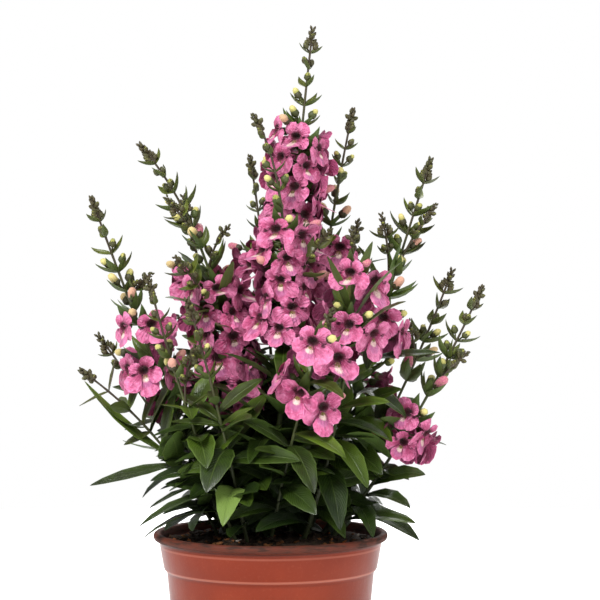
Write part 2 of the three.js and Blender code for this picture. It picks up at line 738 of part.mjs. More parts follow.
function stemLeaf(shoot, spot, below, angle, draw, { swing, tilt, scale }) {
  const away = spot.outward(angle + swing);
  const s = leafSize;
  const rise = clamp((spot.centre.z - potSize.height) / s.highAbovePot, 0, 1);
  const grown = Math.min(s.longest, s.shortest + s.growth * (below - shoot.leavesFrom));
  const full = grown * (0.85 + 0.3 * draw) * Math.sqrt(shoot.leafy);
  const lean = rad(blend(s.lowLean, s.highLean, rise) - tilt);
  const way = mixOf([away, Math.sin(lean)], [spot.tangent, Math.cos(lean)]);
  const droop = blend(s.lowDroop, s.highDroop, rise);
  let length = full * scale;
  for (let k = 0; k < s.cuts && !isInCrown(along(spot.centre, [way, length], [up, -length * droop])); k++) {
    length *= s.cut;
  }
  return {
    form: length > s.large * scale ? 'large' : 'middle',
    root: spot.centre,
    reach: way.multiplyScalar(length),
    sag: up.clone().multiplyScalar(-length * droop),
    side: spot.tangent.clone().cross(away),
    width: Math.min(full * s.halfWidth, length * s.broadest),
  };
}

// The whole skin of a shoot: foot, sockets and what grows on them, and the spindle of young buds at the tip.
function shootSolid(shoot) {
  const points = [];
  const triangles = [];
  const put = (list) => list.map((p) => points.push(p) - 1);
  const sockets = [...shoot.sockets].sort((a, b) => b.below - a.below);
  const band = (low, high, grown = {}) => {
    for (let k = 0; k < 3; k++) {
      const j = (k + 1) % 3;
      const roots = { lower: [low[k], low[j], high[j]], upper: [low[k], high[j], high[k]] };
      for (const [half, root] of Object.entries(roots)) {
        const patch = grown[k + half];
        if (!patch) {
          triangles.push(root);
          continue;
        }
        const corners = [...root, ...put(patch.points)];
        triangles.push(...patch.triangles.map((triangle) => triangle.map((c) => corners[c])));
      }
    }
  };
  // Ring b relabelled so that it follows ring a with the least twist.
  const follow = (b, turnA, turnB) => {
    const steps = THREE.MathUtils.euclideanModulo(Math.round((turnA - turnB) / 120), 3);
    return [0, 1, 2].map((k) => b[(k + steps) % 3]);
  };
  const lowest = sockets[0];
  const foot = shoot.at(shoot.total);
  let turn = lowest.turn;
  let ring = put([0, 1, 2].map((k) => along(foot.centre, [foot.outward(turn + 120 * k), foot.radius])));
  triangles.push([...ring].reverse());
  for (const socket of sockets) {
    const low = put(socket.low);
    const high = put(socket.high);
    band(ring, follow(low, turn, socket.turn));
    band(low, high, socket.grown);
    ring = high;
    turn = socket.turn;
  }
  const top = shoot.at(0);
  const { bellyBelow, bellyRadius } = stemSize;
  const middle = shoot.at(bellyBelow).centre;
  const belly = put([0, 1, 2].map((k) => along(middle, [top.outward(turn + 120 * k), bellyRadius])));
  const [peak] = put([along(top.centre, [top.tangent, stemSize.peak])]);
  band(ring, belly);
  [0, 1, 2].forEach((k) => triangles.push([belly[k], belly[(k + 1) % 3], peak]));
  return solidOf(points, triangles);
}

// Pot and compost

function potSolid() {
  const p = potSize;
  const footInside = p.footRadius - p.footWidth;
  const foot = [
    [0, 0], [p.padRadius, 0], [p.padRadius + 2.5, p.channelHeight], [footInside - 2, p.channelHeight],
    [footInside, 0], [p.footRadius - 1, 0], [p.footRadius, 1.2],
  ];
  const outside = [
    [p.shoulderRadius, p.collarBottom - 1.4], [p.collarBottomRadius, p.collarBottom],
    [p.collarTopRadius, p.collarTop], [p.mouthRadius + 0.1, p.collarTop + 1.4],
  ];
  const lip = [
    [p.lipRadius - 0.6, p.height - 3.4], [p.lipRadius, p.height - 2.2],
    [p.lipRadius - 1.1, p.height], [p.mouthRadius, p.height - 0.4],
  ];
  const inside = [
    [p.mouthRadius - p.wall, p.collarTop + 1.8], [p.shoulderRadius - p.wall, p.collarBottom - 1.2],
    [p.footRadius - p.wall, p.floor + p.channelHeight], [0, p.floor + p.channelHeight],
  ];
  const profile = [...foot, ...outside, ...lip, ...inside].map(([r, z]) => new THREE.Vector2(r, z));
  const shell = solidOfGeometry(new THREE.LatheGeometry(profile, p.sides).rotateX(Math.PI / 2));
  const drains = Array.from({ length: p.drains }, (_, k) => {
    const angle = (2 * Math.PI * (k + 0.5)) / p.drains;
    const hole = new THREE.CylinderGeometry(p.drainRadius, p.drainRadius, 20, 8).rotateX(Math.PI / 2);
    hole.translate(p.drainCircle * Math.cos(angle), p.drainCircle * Math.sin(angle), 0);
    return solidOfGeometry(hole);
  });
  return shell.subtract(wasm.Manifold.union(drains));
}

// Height of the compost's lumpy surface.
function soilHeight(x, y) {
  const s = soilSize;
  const r = Math.hypot(x, y) / (potSize.mouthRadius - potSize.wall);
  const lumps = Math.sin(0.31 * x + 1.1) * Math.cos(0.27 * y - 0.4) + 0.6 * Math.sin(0.53 * x - 0.61 * y);
  return blend(s.crownHeight, s.edgeHeight, r * r) + s.relief * lumps * (1 - 0.7 * r ** 4);
}

function soilSolid() {
  const p = potSize;
  const s = soilSize;
  const gap = p.wall + s.clearance;
  const bottom = p.floor + p.channelHeight + s.clearance;
  const wallLine = [[p.footRadius - gap, bottom], [p.shoulderRadius - gap, p.collarBottom - 1.2]];
  const ring = (radius, height) => Array.from({ length: p.sides }, (_, k) => {
    const angle = (2 * Math.PI * k) / p.sides;
    const x = radius * Math.cos(angle);
    const y = radius * Math.sin(angle);
    return vec(x, y, height ?? soilHeight(x, y));
  });
  const topRadius = p.mouthRadius - gap - 0.2;
  const tops = Array.from({ length: s.rings }, (_, k) => ring(topRadius * (1 - k / s.rings)));
  const walls = wallLine.map(([r, z]) => ring(r, z));
  const body = skin([...walls, ...tops, [vec(0, 0, soilHeight(0, 0))]]);
  const holes = traced.map((shoot) => {
    const rings = [-clearance, stemSize.holeDepth].map((rise) => {
      const { centre, side, other, tangent } = shoot.at(shoot.total - Math.max(0, rise));
      const middle = along(centre, [tangent, Math.min(0, rise)]);
      return ringOf(middle, side, other, stemSize.holeRadius, stemSize.holeSides);
    });
    return skin(rings);
  });
  return body.subtract(wasm.Manifold.union(holes));
}

// Materials

const terracotta = new THREE.MeshStandardMaterial({ color: 0xb0583c, roughness: 0.42, metalness: 0 });
const compost = new THREE.MeshStandardMaterial({ color: 0x33231a, roughness: 0.95, metalness: 0 });
const leafGreen = new THREE.MeshStandardMaterial({ color: 0x3c5a1e, roughness: 0.45, metalness: 0 });
const petalPink = new THREE.MeshStandardMaterial({ color: 0xd8669f, roughness: 0.55, metalness: 0 });

// Assembly

const traced = shoots.map(traceShoot);
traced.forEach(planFlowers);
traced.forEach(planTip);
traced.forEach(planBuds);
planShowLeaves();
traced.forEach(planLeaves);

const pot = potSolid();
const soil = soilSolid();
place(pot, 'pot');
place(soil, 'soil');
traced.forEach((shoot) => place(shootSolid(shoot), greenOf(shoot)));
traced.forEach(growFlowers);
jobs.forEach(grow);

const plant = new THREE.Group();
plant.add(meshOf('pot', pot, terracotta));
plant.add(meshOf('soil', soil, compost));
for (const shoot of traced) {
  plant.add(meshOf(greenOf(shoot), shootSolid(shoot), leafGreen));
  shoot.runs.forEach(({ piece }) => plant.add(meshOf(piece.owner, piece.solid, petalPink)));
}

export default plant;
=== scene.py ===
# Potted angelonia: the looks of its leafy shoots, its flowers, the compost and the thin nursery pot.
# The dictionaries hold millimetres and degrees, and the meshes are in metres.
import math
import bpy
import numpy as np
from itertools import product
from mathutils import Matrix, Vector


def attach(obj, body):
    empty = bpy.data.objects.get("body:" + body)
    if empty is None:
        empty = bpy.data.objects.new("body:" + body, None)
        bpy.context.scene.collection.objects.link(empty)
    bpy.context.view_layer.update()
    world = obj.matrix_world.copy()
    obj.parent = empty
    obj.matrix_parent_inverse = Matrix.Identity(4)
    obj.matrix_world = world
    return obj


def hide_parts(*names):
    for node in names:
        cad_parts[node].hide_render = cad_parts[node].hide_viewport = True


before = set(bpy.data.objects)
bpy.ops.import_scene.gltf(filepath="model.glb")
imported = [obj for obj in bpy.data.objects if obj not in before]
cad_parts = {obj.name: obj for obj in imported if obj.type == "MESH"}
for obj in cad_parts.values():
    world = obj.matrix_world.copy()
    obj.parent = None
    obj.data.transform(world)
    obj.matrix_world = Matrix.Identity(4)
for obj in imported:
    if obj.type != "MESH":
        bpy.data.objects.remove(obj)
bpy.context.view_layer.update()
print("frame loaded with", len(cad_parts), "nodes")

mm = 0.001
up = np.array([0.0, 0.0, 1.0])

# The plan of the plant

# Each shoot is a curve from its foot in the compost, past an elbow, to its tip. buds is how far below the tip
# the closed buds reach, and flowers where the open ones begin and end. leafy is how large its bracts are, gap
# how far apart its pairs of leaves stand, and start the direction of the first pair.
shootKeys = ("name", "foot", "elbow", "tip", "buds", "flowers", "leafy", "gap", "start")
shoots = [dict(zip(shootKeys, row)) for row in [
    ("tall_centre", (1, 2), (8.6, 3, 250), (21.7, 5, 359), 52, (54, 106), 1.0, 19, 200),
    ("front_of_centre", (-4, -9), (22, -24, 266), (-8.4, -25, 311), 57, (59, 108), 0.8, 17, 250),
    ("right_of_centre", (8, 6), (24, 24, 230), (43, 24, 319), 72, (74, 118), 0.9, 18, 300),
    ("short_right", (12, -12), (44, -35, 170), (40.8, -36, 254), 19, (21, 54), 0.8, 15, 262),
    ("right", (14, 4), (50, -6, 188), (81.9, -5, 290.7), 78, (80, 120), 1.4, 15, 214),
    ("front_low", (-2, -17), (10, -46, 158), (31, -52, 214), 14, (16, 58), 0.8, 14, 250),
    ("left", (-9, 0), (-14, -3, 240), (-67.2, -3, 298.4), 78, (80, 120), 1.35, 16, 215),
    ("left_behind", (-6, 9), (-30, 24, 205), (-47, 31, 274), 39, (41, 62), 1.1, 15, 180),
    ("far_left", (-15, -6), (-58, -10, 178), (-91.2, -8, 270.8), 65, (67, 112), 1.2, 17, 240),
    ("low_left", (-17, 5), (-52, 17, 150), (-91, 19, 200.4), 30, None, 1.0, 19, 20),
    ("lowest_left", (-21, -2), (-46, -9, 148), (-96.6, -9, 183), 12, None, 0.9, 17, 135),
    ("front_left", (-12, -15), (-42, -36, 160), (-60, -34, 229), 62, None, 1.0, 15, 110),
    ("front_left_low", (-9, -20), (-22, -44, 160), (-40.3, -42, 219), 48, None, 1.0, 13, 40),
    ("far_right", (18, 9), (62, 13, 148), (94.5, 13, 234.3), 72, None, 1.4, 15, 10),
    ("lowest_right", (20, -5), (68, -9, 138), (108, -7, 225.3), 72, (74, 84), 1.3, 15, 243),
    ("back_centre", (3, 13), (2, 34, 215), (-12, 46, 296), 46, (48, 88), 0.9, 17, 60),
    ("back_right", (9, 17), (32, 42, 175), (47, 60, 262), 46, (48, 84), 1.0, 15, 100),
    ("back_left", (-5, 19), (-26, 50, 160), (-42, 66, 240), 42, (44, 76), 1.0, 14, 80),
    ("back_low", (2, 23), (10, 66, 140), (8, 88, 206), 36, (38, 62), 1.0, 13, 90),
]]

# The large leaves that show most, by shoot: height of the root, tip, half width, rise of the middle
showLeaves = {
    "lowest_left": [(135, (-91, -17, 125), 4.4, 0.5), (154, (-88, -17, 170), 3.4, -5)],
    "low_left": [(141, (-77, 8, 146), 3.4, -2)],
    "front_left": [(133, (-60, -24, 128), 4.6, 2), (122, (-65, -31, 106), 4.8, 3),
                   (112, (-64, -24, 99), 5, 5), (151, (-30, -55, 137), 6.4, 4)],
    "front_left_low": [(145, (-30, -60, 126), 7.6, 4), (114, (-27, -45, 127), 7.4, -3),
                       (106, (-18.5, -49, 103), 5.4, 2)],
    "front_of_centre": [(155, (-9.7, -50, 139), 6.2, 4)],
    "front_low": [(147, (22, -65, 126), 5.6, 3), (126, (23, -57, 115), 5.6, 2), (153, (37, -62, 143), 5, 3)],
    "short_right": [(106, (-13, -45, 106), 5.4, 4), (135, (34.5, -53, 107), 6.6, 5),
                    (114, (37, -49, 102.5), 5, 4), (149, (48, -50, 127), 5.6, 4),
                    (158, (59, -38, 150), 5.2, 2)],
    "lowest_right": [(112, (50.9, -43, 102), 5, 6), (124, (78, -22, 131), 4.6, 3),
                     (118, (70, -30, 115), 5, 4), (106, (73, -25, 107), 5, 3),
                     (145, (90.5, 2, 144), 3.6, 2)],
    "far_right": [(111, (75.5, -15, 97), 5.4, 5)],
    "right": [(188, (86.4, -10, 192), 3.2, 1), (157, (73.4, -12, 174), 4.6, 3),
              (146, (58, -14, 171), 4.8, 2)],
}

# Further leaves of the low mass, which no solid has. The pale one shows at the front.
fillingLeaves = {
    "right": [(172, (68, -24, 160), 5.5, 4), (158, (61, -30, 148), 5.5, 3), (150, (38, -34, 163), 5, 2),
              (142, (56, -32, 132), 6.5, 4), (219, (44, -26, 246), 2.2, 2), (217, (66, -22, 248), 2, 2),
              (200, (48, -36, 184), 4.2, 3)],
    "lowest_right": [(138, (38, -30, 152), 5.5, 3), (150, (55, -30, 160), 4.5, 2)],
    "far_right": [(150, (60, -14, 171), 5, 2), (138, (46, -22, 172), 5, 2), (128, (70, -18, 128), 5, 4)],
    "low_left": [(128, (-66, 0, 117), 5.5, 4)],
    "far_left": [(152, (-55, -28, 140), 5.5, 3), (140, (-48, -28, 150), 5, 2),
                 (165, (-44, -26, 180), 4.5, 2)],
    "left": [(160, (-38, -26, 172), 5, 2), (150, (-30, -30, 158), 5.5, 3), (206, (-52, -32, 220), 3.4, 3),
             (214, (-18, -34, 238), 3.2, 2), (222, (-46, -28, 243), 3, 2), (198, (-26, -36, 206), 3.6, 3)],
    "front_of_centre": [(165, (8, -42, 168), 5, 3), (196, (6, -50, 178), 4.2, 3)],
    "front_left": [(165, (-38, -44, 160), 4.5, 2)],
    "front_left_low": [(124, (-22, -62, 110), 6.4, 7, "pale")],
    "lowest_left": [(141, (-94, -16, 178), 4.6, -5)],
    "short_right": [(206, (64, -60, 237), 3.4, 3), (214, (50, -60, 247), 2.6, 2),
                    (198, (66, -62, 218), 3.4, 3), (210, (28, -60, 240), 3, 2),
                    (196, (22, -62, 196), 3.4, 3)],
    "front_low": [(178, (36, -72, 172), 3.6, 3)],
    "right_of_centre": [(226, (60, 2, 240), 3.2, 2), (240, (28, -4, 252), 3, 2)],
}

# Side twigs that no solid has: the shoot, how far below its tip they leave it, and what a shoot's facts say
twigKeys = ("on", "leaves", "tip", "buds", "leafy", "start")
twigs = [dict(zip(twigKeys, row)) for row in [
    ("left", 64, (-53, -9, 271), 30, 1.25, 30),
    ("left", 76, (-21, -14, 256), 24, 1.2, 75),
    ("right", 62, (84, -12, 267), 30, 1.2, 50),
    ("right", 76, (56, -16, 262), 24, 1.3, 10),
    ("right_of_centre", 84, (25, -4, 254), 26, 1.3, 0),
    ("far_right", 56, (71, 4, 208), 24, 1.2, 20),
    ("lowest_right", 60, (100, -12, 192), 20, 1.2, 60),
    ("far_left", 58, (-60, -14, 232), 26, 1.2, 40),
    ("front_left", 66, (-36, -44, 196), 24, 1.0, 15),
    ("front_of_centre", 106, (30, -44, 253), 34, 1.5, 40),
    ("left", 118, (-47, -31, 240), 32, 1.6, 20),
    ("back_right", 50, (58, 48, 226), 24, 1.1, 0),
    ("back_left", 48, (-52, 50, 210), 24, 1.1, 0),
]]

# How shoots branch. A pair of numbers is a size at the tip and its growth for each millimetre below it.
growth = {
    "stemFoot": 84, "stemRadius": (0.6, 1.9), "stemTaper": 200, "curveSteps": 60,
    "tipPairs": (9.2, 5.6), "tipTurn": 80, "tipStalk": 0.9, "tipRadius": 1.15,
    "firstBuds": 13, "budStep": (7.4, 0.08), "budTurn": 47, "budMissing": 0.16, "budLean": 36, "tipLean": 58,
    "budStalk": (1.2, 0.07), "budRadius": (1.2, 0.02), "budLargest": 2.4, "budPoint": 1.5,
    "bractLength": (5.6, 0.1), "bractWidth": (1.1, 0.014), "bractLean": 64, "bractCurl": 0.26,
    "leafShortest": 20, "leafGrowth": 0.42, "leafLongest": 49, "leafHalfWidth": 0.125,
    "leafVaries": (0.85, 0.3), "gapVaries": (0.8, 0.3), "leafTurn": (45, 90),
    "leafLean": (76, 55), "leafDroop": (0.3, 0.1), "leafRise": (100, 90), "leafLarge": 26.4,
    "leafFirstGap": 6, "leafAboveFoot": 22, "leafSpread": 24, "leafRoom": 3.2, "archToSag": -4,
    "crownRadius": 60, "crownTop": 150, "leafCuts": 5, "leafCut": 0.85, "leafBroadest": 0.19, "leafFree": 170,
    "flowerStep": 4.15, "flowerTurn": 61, "flowerStalk": 8.4, "flowerRise": 1.5, "flowerTube": 5.4,
    "flowerGap": 0.4, "flowerScale": 1.06, "flowerWobble": (8, 10), "flowerSizes": (0.94, 0.12),
    "lipTip": (-10.6, 0.4), "twigBend": (0.3, 0.2), "twigGap": 15, "seen": 0.05,
}
# What the solids leave out: more leaves low down, leaflets by the buds, and bracts and flowers in the crowds
filling = {
    "leafStep": 5.0, "leafShortest": 29, "leafLongest": 50, "leafHalfWidth": 0.145, "leafTop": 183,
    "leafTurn": 137.5, "leafSway": 40, "leafVaries": (0.75, 0.4), "leafEnds": (4, 14),
    "leafTries": ((0, 1), (180, 1), (90, 0.8), (180, 0.6)),
    "reachHeights": (100, 150, 200), "reach": (58, 66, 72), "lowest": ((30, 52), (99, 105)),
    "openBelow": 126, "openBefore": -20,
    "leafletFrom": 40, "leafletShare": 0.8, "leafletVaries": (0.8, 0.4), "leafletTurn": 40,
    "leafletWidth": 0.9, "flowerBract": (15, 2.6),
    "crowdBuds": 0.4, "crowdBudLean": 66, "crowdBudTurn": 32, "crowdBudStalk": (10.5, 3),
    "crowdBudRadius": 2.2, "crowdBudBelow": 60,
    "flowerStep": 0.5, "flowerShift": 0.37, "flowerTries": (0, 20, 35), "flowerApart": 11,
    "crowded": {"tall_centre": 8.6, "front_of_centre": 9.4, "front_low": 40, "right": 40, "lowest_right": 9},
    "turned": ("tall_centre", "front_of_centre", "left", "lowest_right"),
    "lower": {"left": 7, "front_of_centre": 2, "lowest_right": 2},
}
# What each kind of draw adds to the number of its shoot or of its pair
draws = {"buds": 200, "leaves": 400, "gaps": 600, "filling": 30, "facing": 40, "twigs": 40, "crowdBuds": 60,
         "crowdStalks": 70, "sizes": 80}
paleSeed = 99


def upright(*choices):  # every choice with every other, one column array for each
    return (np.array(column, float)[:, None] for column in zip(*product(*choices)))


# A solid has the first of these tries that its neighbours left room for. closer is how many tries there are
# with one tilt.
tryScale, tryTilt, trySwing = upright((1, 0.78), (0, 14, -14), (0, 12, -12, 24, -24))
flowerReach, flowerTilt, flowerSwing = upright((1, 0.88, 1.12), (0, 12, -12), (0, 8, -8, 16, -16))
closer = 5


def chance(a, b):  # a repeatable draw from 0 to 1: the fraction of a large sine
    wave = np.sin(a * 12.9898 + b * 78.233) * 43758.5453
    return wave - np.floor(wave)


def unit(v):  # each vector over its length
    return v / np.maximum(np.linalg.norm(v, axis=-1, keepdims=True), 1e-9)


def dot(a, b):
    return np.sum(a * b, axis=-1, keepdims=True)


def fade(low, high, x):  # 0 below low, 1 above high, smooth between
    t = np.clip((x - low) / (high - low), 0, 1)
    return t * t * (3 - 2 * t)


def sizeAt(pair, below):
    return pair[0] + pair[1] * below


def turned(angle, a, b):  # the direction at an angle in degrees from a towards b
    return np.cos(np.radians(angle)) * a + np.sin(np.radians(angle)) * b


class Shoot:
    # A shoot's curve: (1-t)^2 foot + 2t(1-t) elbow + t^2 tip, walked by its length below the tip
    def __init__(self, index, facts):
        self.index, self.facts, self.name = index, facts, facts["name"]
        self.foot = np.array([*facts["foot"], growth["stemFoot"]][:3], float)  # a twig's has its own height
        self.elbow, self.tip = np.array(facts["elbow"], float), np.array(facts["tip"], float)
        self.shares = np.linspace(0, 1, growth["curveSteps"] + 1)
        self.spots = self.pointAt(self.shares)
        steps = np.linalg.norm(np.diff(self.spots, axis=0), axis=1)
        self.lengths = np.concatenate([[0], np.cumsum(steps)])
        self.total = self.lengths[-1]
        zone = facts["flowers"][1] if facts["flowers"] else facts["buds"]
        self.leavesFrom = zone + growth["leafFirstGap"]
        self.sockets = []
        self.corners = None if "on" in facts else cornersOf("stem_" + self.name)

    def pointAt(self, t):
        t = np.asarray(t, float)[..., None]
        return (1 - t) ** 2 * self.foot + 2 * t * (1 - t) * self.elbow + t * t * self.tip

    def at(self, below):  # centre, tangent, side, other and radius, at distances below the tip
        below = np.asarray(below, float)
        t = np.interp(np.clip(self.total - below, 0, self.total), self.lengths, self.shares)
        tangent = unit((1 - t)[..., None] * (self.elbow - self.foot) + t[..., None] * (self.tip - self.elbow))
        side = unit(np.array([1.0, 0, 0]) - tangent * tangent[..., :1])
        taper = np.clip(below / growth["stemTaper"], 0, 1)
        return {"centre": self.pointAt(t), "tangent": tangent, "side": side, "other": np.cross(tangent, side),
                "radius": growth["stemRadius"][0] + np.ptp(growth["stemRadius"]) * taper}

    def belowAt(self, height):
        return self.total - np.interp(height, self.spots[:, 2], self.lengths)


def cornersOf(node):  # a CAD node's corners, in millimetres
    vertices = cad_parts[node].data.vertices
    places = np.empty(3 * len(vertices), np.float32)
    vertices.foreach_get("co", places)
    return places.reshape(-1, 3) / mm


def firstSeen(corners, tips):  # the first try whose tip is a corner of the CAD node, or None
    if corners is None:
        return None
    gaps = np.linalg.norm(tips[:, None] - corners, axis=-1).min(axis=1)
    seen = np.flatnonzero(gaps < growth["seen"])
    return int(seen[0]) if len(seen) else None


def aim(spot, angle, lean):  # how each try leaves the stem, and the way that it leans out from it
    away = turned(angle + trySwing, spot["side"], spot["other"])
    return away, turned(lean - tryTilt, spot["tangent"], away)


def tries(spot, away, tips, **more):
    return {"root": spot["centre"] + 0 * away, "side": np.cross(spot["tangent"], away), "tips": tips, **more}


def budTries(spot, angle, lean, stalk, radius):
    away, way = aim(spot, angle, lean)
    belly = spot["centre"] + way * (spot["radius"] + stalk * tryScale + radius)
    return tries(spot, away, belly + growth["budPoint"] * radius * way, belly=belly, way=way)


def bractTries(spot, angle, length):
    away, way = aim(spot, angle, growth["bractLean"])
    reach, sag = length * tryScale * way, growth["bractCurl"] * length * tryScale * spot["tangent"]
    return tries(spot, away, spot["centre"] + reach + sag, reach=reach, sag=sag)


def leafTries(spot, angle, full):  # low down a leaf is cut shorter until it stays inside the crown's edge
    low, span = growth["leafRise"]
    rise = float(np.clip((spot["centre"][2] - low) / span, 0, 1))
    away, way = aim(spot, angle, np.interp(rise, (0, 1), growth["leafLean"]))
    droop = np.interp(rise, (0, 1), growth["leafDroop"]) * up
    length = full * tryScale
    for k in range(growth["leafCuts"]):
        tips = spot["centre"] + length * (way - droop)
        far = np.hypot(tips[:, :1], tips[:, 1:2]) >= growth["crownRadius"]
        length = np.where(far & (tips[:, 2:] <= growth["crownTop"]), length * growth["leafCut"], length)
    return tries(spot, away, spot["centre"] + length * (way - droop), reach=length * way, sag=-length * droop,
                 broadest=growth["leafBroadest"] * length[:, 0])


def showLeafTries(spot, tip, arch):  # from the stem to a tip, arched up or down in the middle
    goal = np.array(tip, float) - spot["centre"]
    sag = growth["archToSag"] * arch * up
    flat = turned(trySwing, goal * (1, 1, 0), np.cross(up, goal)) + goal * up
    return {"root": spot["centre"] + 0 * flat, "reach": flat * tryScale - sag, "sag": sag + 0 * flat,
            "side": unit(np.cross(up, goal)) + 0 * flat, "tips": spot["centre"] + flat * tryScale}


def flowerTriesAt(shoot, number, turn=0):
    facts, index = shoot.facts, shoot.index
    spot = shoot.at(facts["flowers"][0] + growth["flowerStep"] * (number + 0.5))
    sway, pitch = growth["flowerWobble"]
    sway = sway * (chance(index, number) - 0.5)
    angle = facts["start"] + turn + growth["flowerTurn"] * number + sway + flowerSwing
    away = turned(angle, spot["side"], spot["other"])
    pitch = pitch * (chance(index + draws["facing"], number) - 0.5) + flowerTilt
    facing = turned(pitch, away, spot["tangent"])
    rise = unit(spot["tangent"] - facing * dot(facing, spot["tangent"]))
    climb = spot["tangent"] * growth["flowerRise"]
    neck = spot["centre"] + away * growth["flowerStalk"] * flowerReach + climb
    size = growth["flowerScale"] * sizeAt(growth["flowerSizes"], chance(index + draws["sizes"], number))
    heart = neck + facing * (growth["flowerTube"] + growth["flowerGap"])
    down, out = growth["lipTip"]
    return {"root": spot["centre"] + 0 * away, "neck": neck, "heart": heart, "facing": facing, "rise": rise,
            "across": np.cross(rise, facing), "size": size + 0 * flowerSwing[:, 0],
            "tips": heart + size * (down * rise + out * facing)}


def pick(options, i, **more):  # one try of a set, with what else is known of it
    return {**{key: value[i] for key, value in options.items()}, **more}


def grownLength(facts, shoot, below):  # leaves grow longer down the shoot
    grown = facts["leafShortest"] + growth["leafGrowth"] * (below - shoot.leavesFrom)
    return min(facts["leafLongest"], grown)


class Plan:
    # What grows on one shoot, as lists that the pieces are made from. more holds flowers that no solid has.
    def __init__(self, shoot):
        self.shoot = shoot
        self.leaves, self.bracts, self.buds, self.flowers, self.more, self.seen = [], [], [], [], [], []

    def match(self, options):  # the try that the solid has, or None
        i = firstSeen(self.shoot.corners, options["tips"])
        self.seen.append(i is not None)
        return i

    def addBud(self, spot, angle, lean, below, stalk, radius, seed):
        options = budTries(spot, angle, lean, stalk, radius)
        self.buds.append(pick(options, self.match(options) or 0, radius=radius, below=below, seed=seed))

    def addBlade(self, kind, options, width, below, seed):
        i, tip = self.match(options), options["tips"][0]
        if i is not None or self.shoot.corners is None or tip[2] > growth["leafFree"] or fits(tip):
            chosen = pick(options, i or 0, below=below, seed=seed)
            kind.append({**chosen, "width": min(width, chosen.get("broadest", width))})

    def fillBract(self, spot, angle, below, length, width, seed):
        # A bract or leaflet that the solids leave out, one tilt on from where a solid's would be
        self.bracts.append(pick(bractTries(spot, angle, length), closer, width=width, below=below, seed=seed))


def fits(tip):  # inside the crown, which widens upwards, and clear above the compost and the lip
    away = math.hypot(tip[0], tip[1])
    reach = np.interp(tip[2], filling["reachHeights"], filling["reach"])
    return away < reach and tip[2] > np.interp(away, *filling["lowest"])


def planShoot(shoot):
    plan, facts = Plan(shoot), shoot.facts
    if facts["flowers"]:
        first, last = facts["flowers"]
        pairs = range(0, int((last - first) // growth["flowerStep"]), 2)
        shoot.sockets += [first + growth["flowerStep"] * (number + 1) for number in pairs]
        planFlowers(plan, 2 * len(pairs))
    for level, below in enumerate(growth["tipPairs"]):
        shoot.sockets.append(below)
        for flip in (0, 1):
            angle = facts["start"] + growth["tipTurn"] * level + 180 * flip
            plan.addBud(shoot.at(below), angle, growth["tipLean"], below, growth["tipStalk"],
                        growth["tipRadius"], level + flip / 2)
    planBuds(plan)
    for height, tip, width, arch in showLeaves.get(shoot.name, ()):
        below = shoot.belowAt(height)
        shoot.sockets.append(below)
        plan.addBlade(plan.leaves, showLeafTries(shoot.at(below), tip, arch), width, below, width + arch)
    planLeaves(plan)
    return plan


def planFlowers(plan, count):
    # The flowers of the solids, each with a bract, and buds on long stalks among them
    shoot, facts = plan.shoot, plan.shoot.facts
    runs = sorted(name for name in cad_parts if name.startswith(f"flowers_{shoot.name}_"))
    solids = [(name, cornersOf(name)) for name in runs]
    for number in range(count):
        options = flowerTriesAt(shoot, number)
        seed = number + 100 * shoot.index
        found = [(name, firstSeen(corners, options["tips"])) for name, corners in solids]
        found = [(name, i) for name, i in found if i is not None]
        if found:
            plan.flowers.append(pick(options, found[0][1], node=found[0][0], seed=seed))
        else:
            plan.more.append(pick(options, 0, seed=seed))
        below = facts["flowers"][0] + growth["flowerStep"] * (number + 0.5)
        angle = facts["start"] + growth["flowerTurn"] * number
        spot = shoot.at(below)
        plan.fillBract(spot, angle, below, *filling["flowerBract"], number / 60)
        draw = chance(shoot.index + draws["crowdBuds"], number)
        if draw < filling["crowdBuds"]:
            stalk = sizeAt(filling["crowdBudStalk"], chance(shoot.index + draws["crowdStalks"], number))
            radius, turn = filling["crowdBudRadius"], filling["crowdBudTurn"]
            options = budTries(spot, angle + turn, filling["crowdBudLean"], stalk, radius)
            plan.buds.append(pick(options, 0, radius=radius, below=filling["crowdBudBelow"], seed=3 * draw))


def planBuds(plan):
    # Pairs of bracts, each with a bud more often than not, and lower down a leaflet beside it
    shoot, facts = plan.shoot, plan.shoot.facts
    below, pair = growth["firstBuds"], 0
    while below < facts["buds"]:
        spot = shoot.at(below)
        shoot.sockets.append(below)
        radius = min(growth["budLargest"], sizeAt(growth["budRadius"], below))
        stalk = sizeAt(growth["budStalk"], below)
        length, width = (sizeAt(growth[key], below) * facts["leafy"] for key in ("bractLength", "bractWidth"))
        for flip in (0, 1):
            draw = chance(shoot.index, draws["buds"] + 2 * pair + flip)
            sway = growth["leafSpread"] * (draw - 0.5)
            angle = facts["start"] + growth["budTurn"] * pair + 180 * flip + sway
            plan.addBlade(plan.bracts, bractTries(spot, angle, length), width, below, draw)
            if draw <= 1 - growth["budMissing"]:
                plan.addBud(spot, angle, growth["budLean"], below, stalk, radius, draw)
            if below > filling["leafletFrom"]:
                share = filling["leafletShare"] * sizeAt(filling["leafletVaries"], draw)
                side = 1 if draw > 0.5 else -1
                plan.fillBract(spot, angle + filling["leafletTurn"] * side, below, length * share,
                               width * filling["leafletWidth"], draw + side / 7)
        below += sizeAt(growth["budStep"], below)
        pair += 1


def planTwig(number, facts, shoot):  # a twig sets off along its shoot and bends away to its own tip
    spot = shoot.at(facts["leaves"])
    away = np.array(facts["tip"], float) - spot["centre"]
    along, straight = growth["twigBend"]
    elbow = spot["centre"] + np.linalg.norm(away) * (along * spot["tangent"] + straight * unit(away))
    own = {"name": f"{facts['on']}_{number}", "foot": spot["centre"], "elbow": elbow, "flowers": None,
           "gap": growth["twigGap"]}
    return planShoot(Shoot(draws["twigs"] + number, {**facts, **own}))


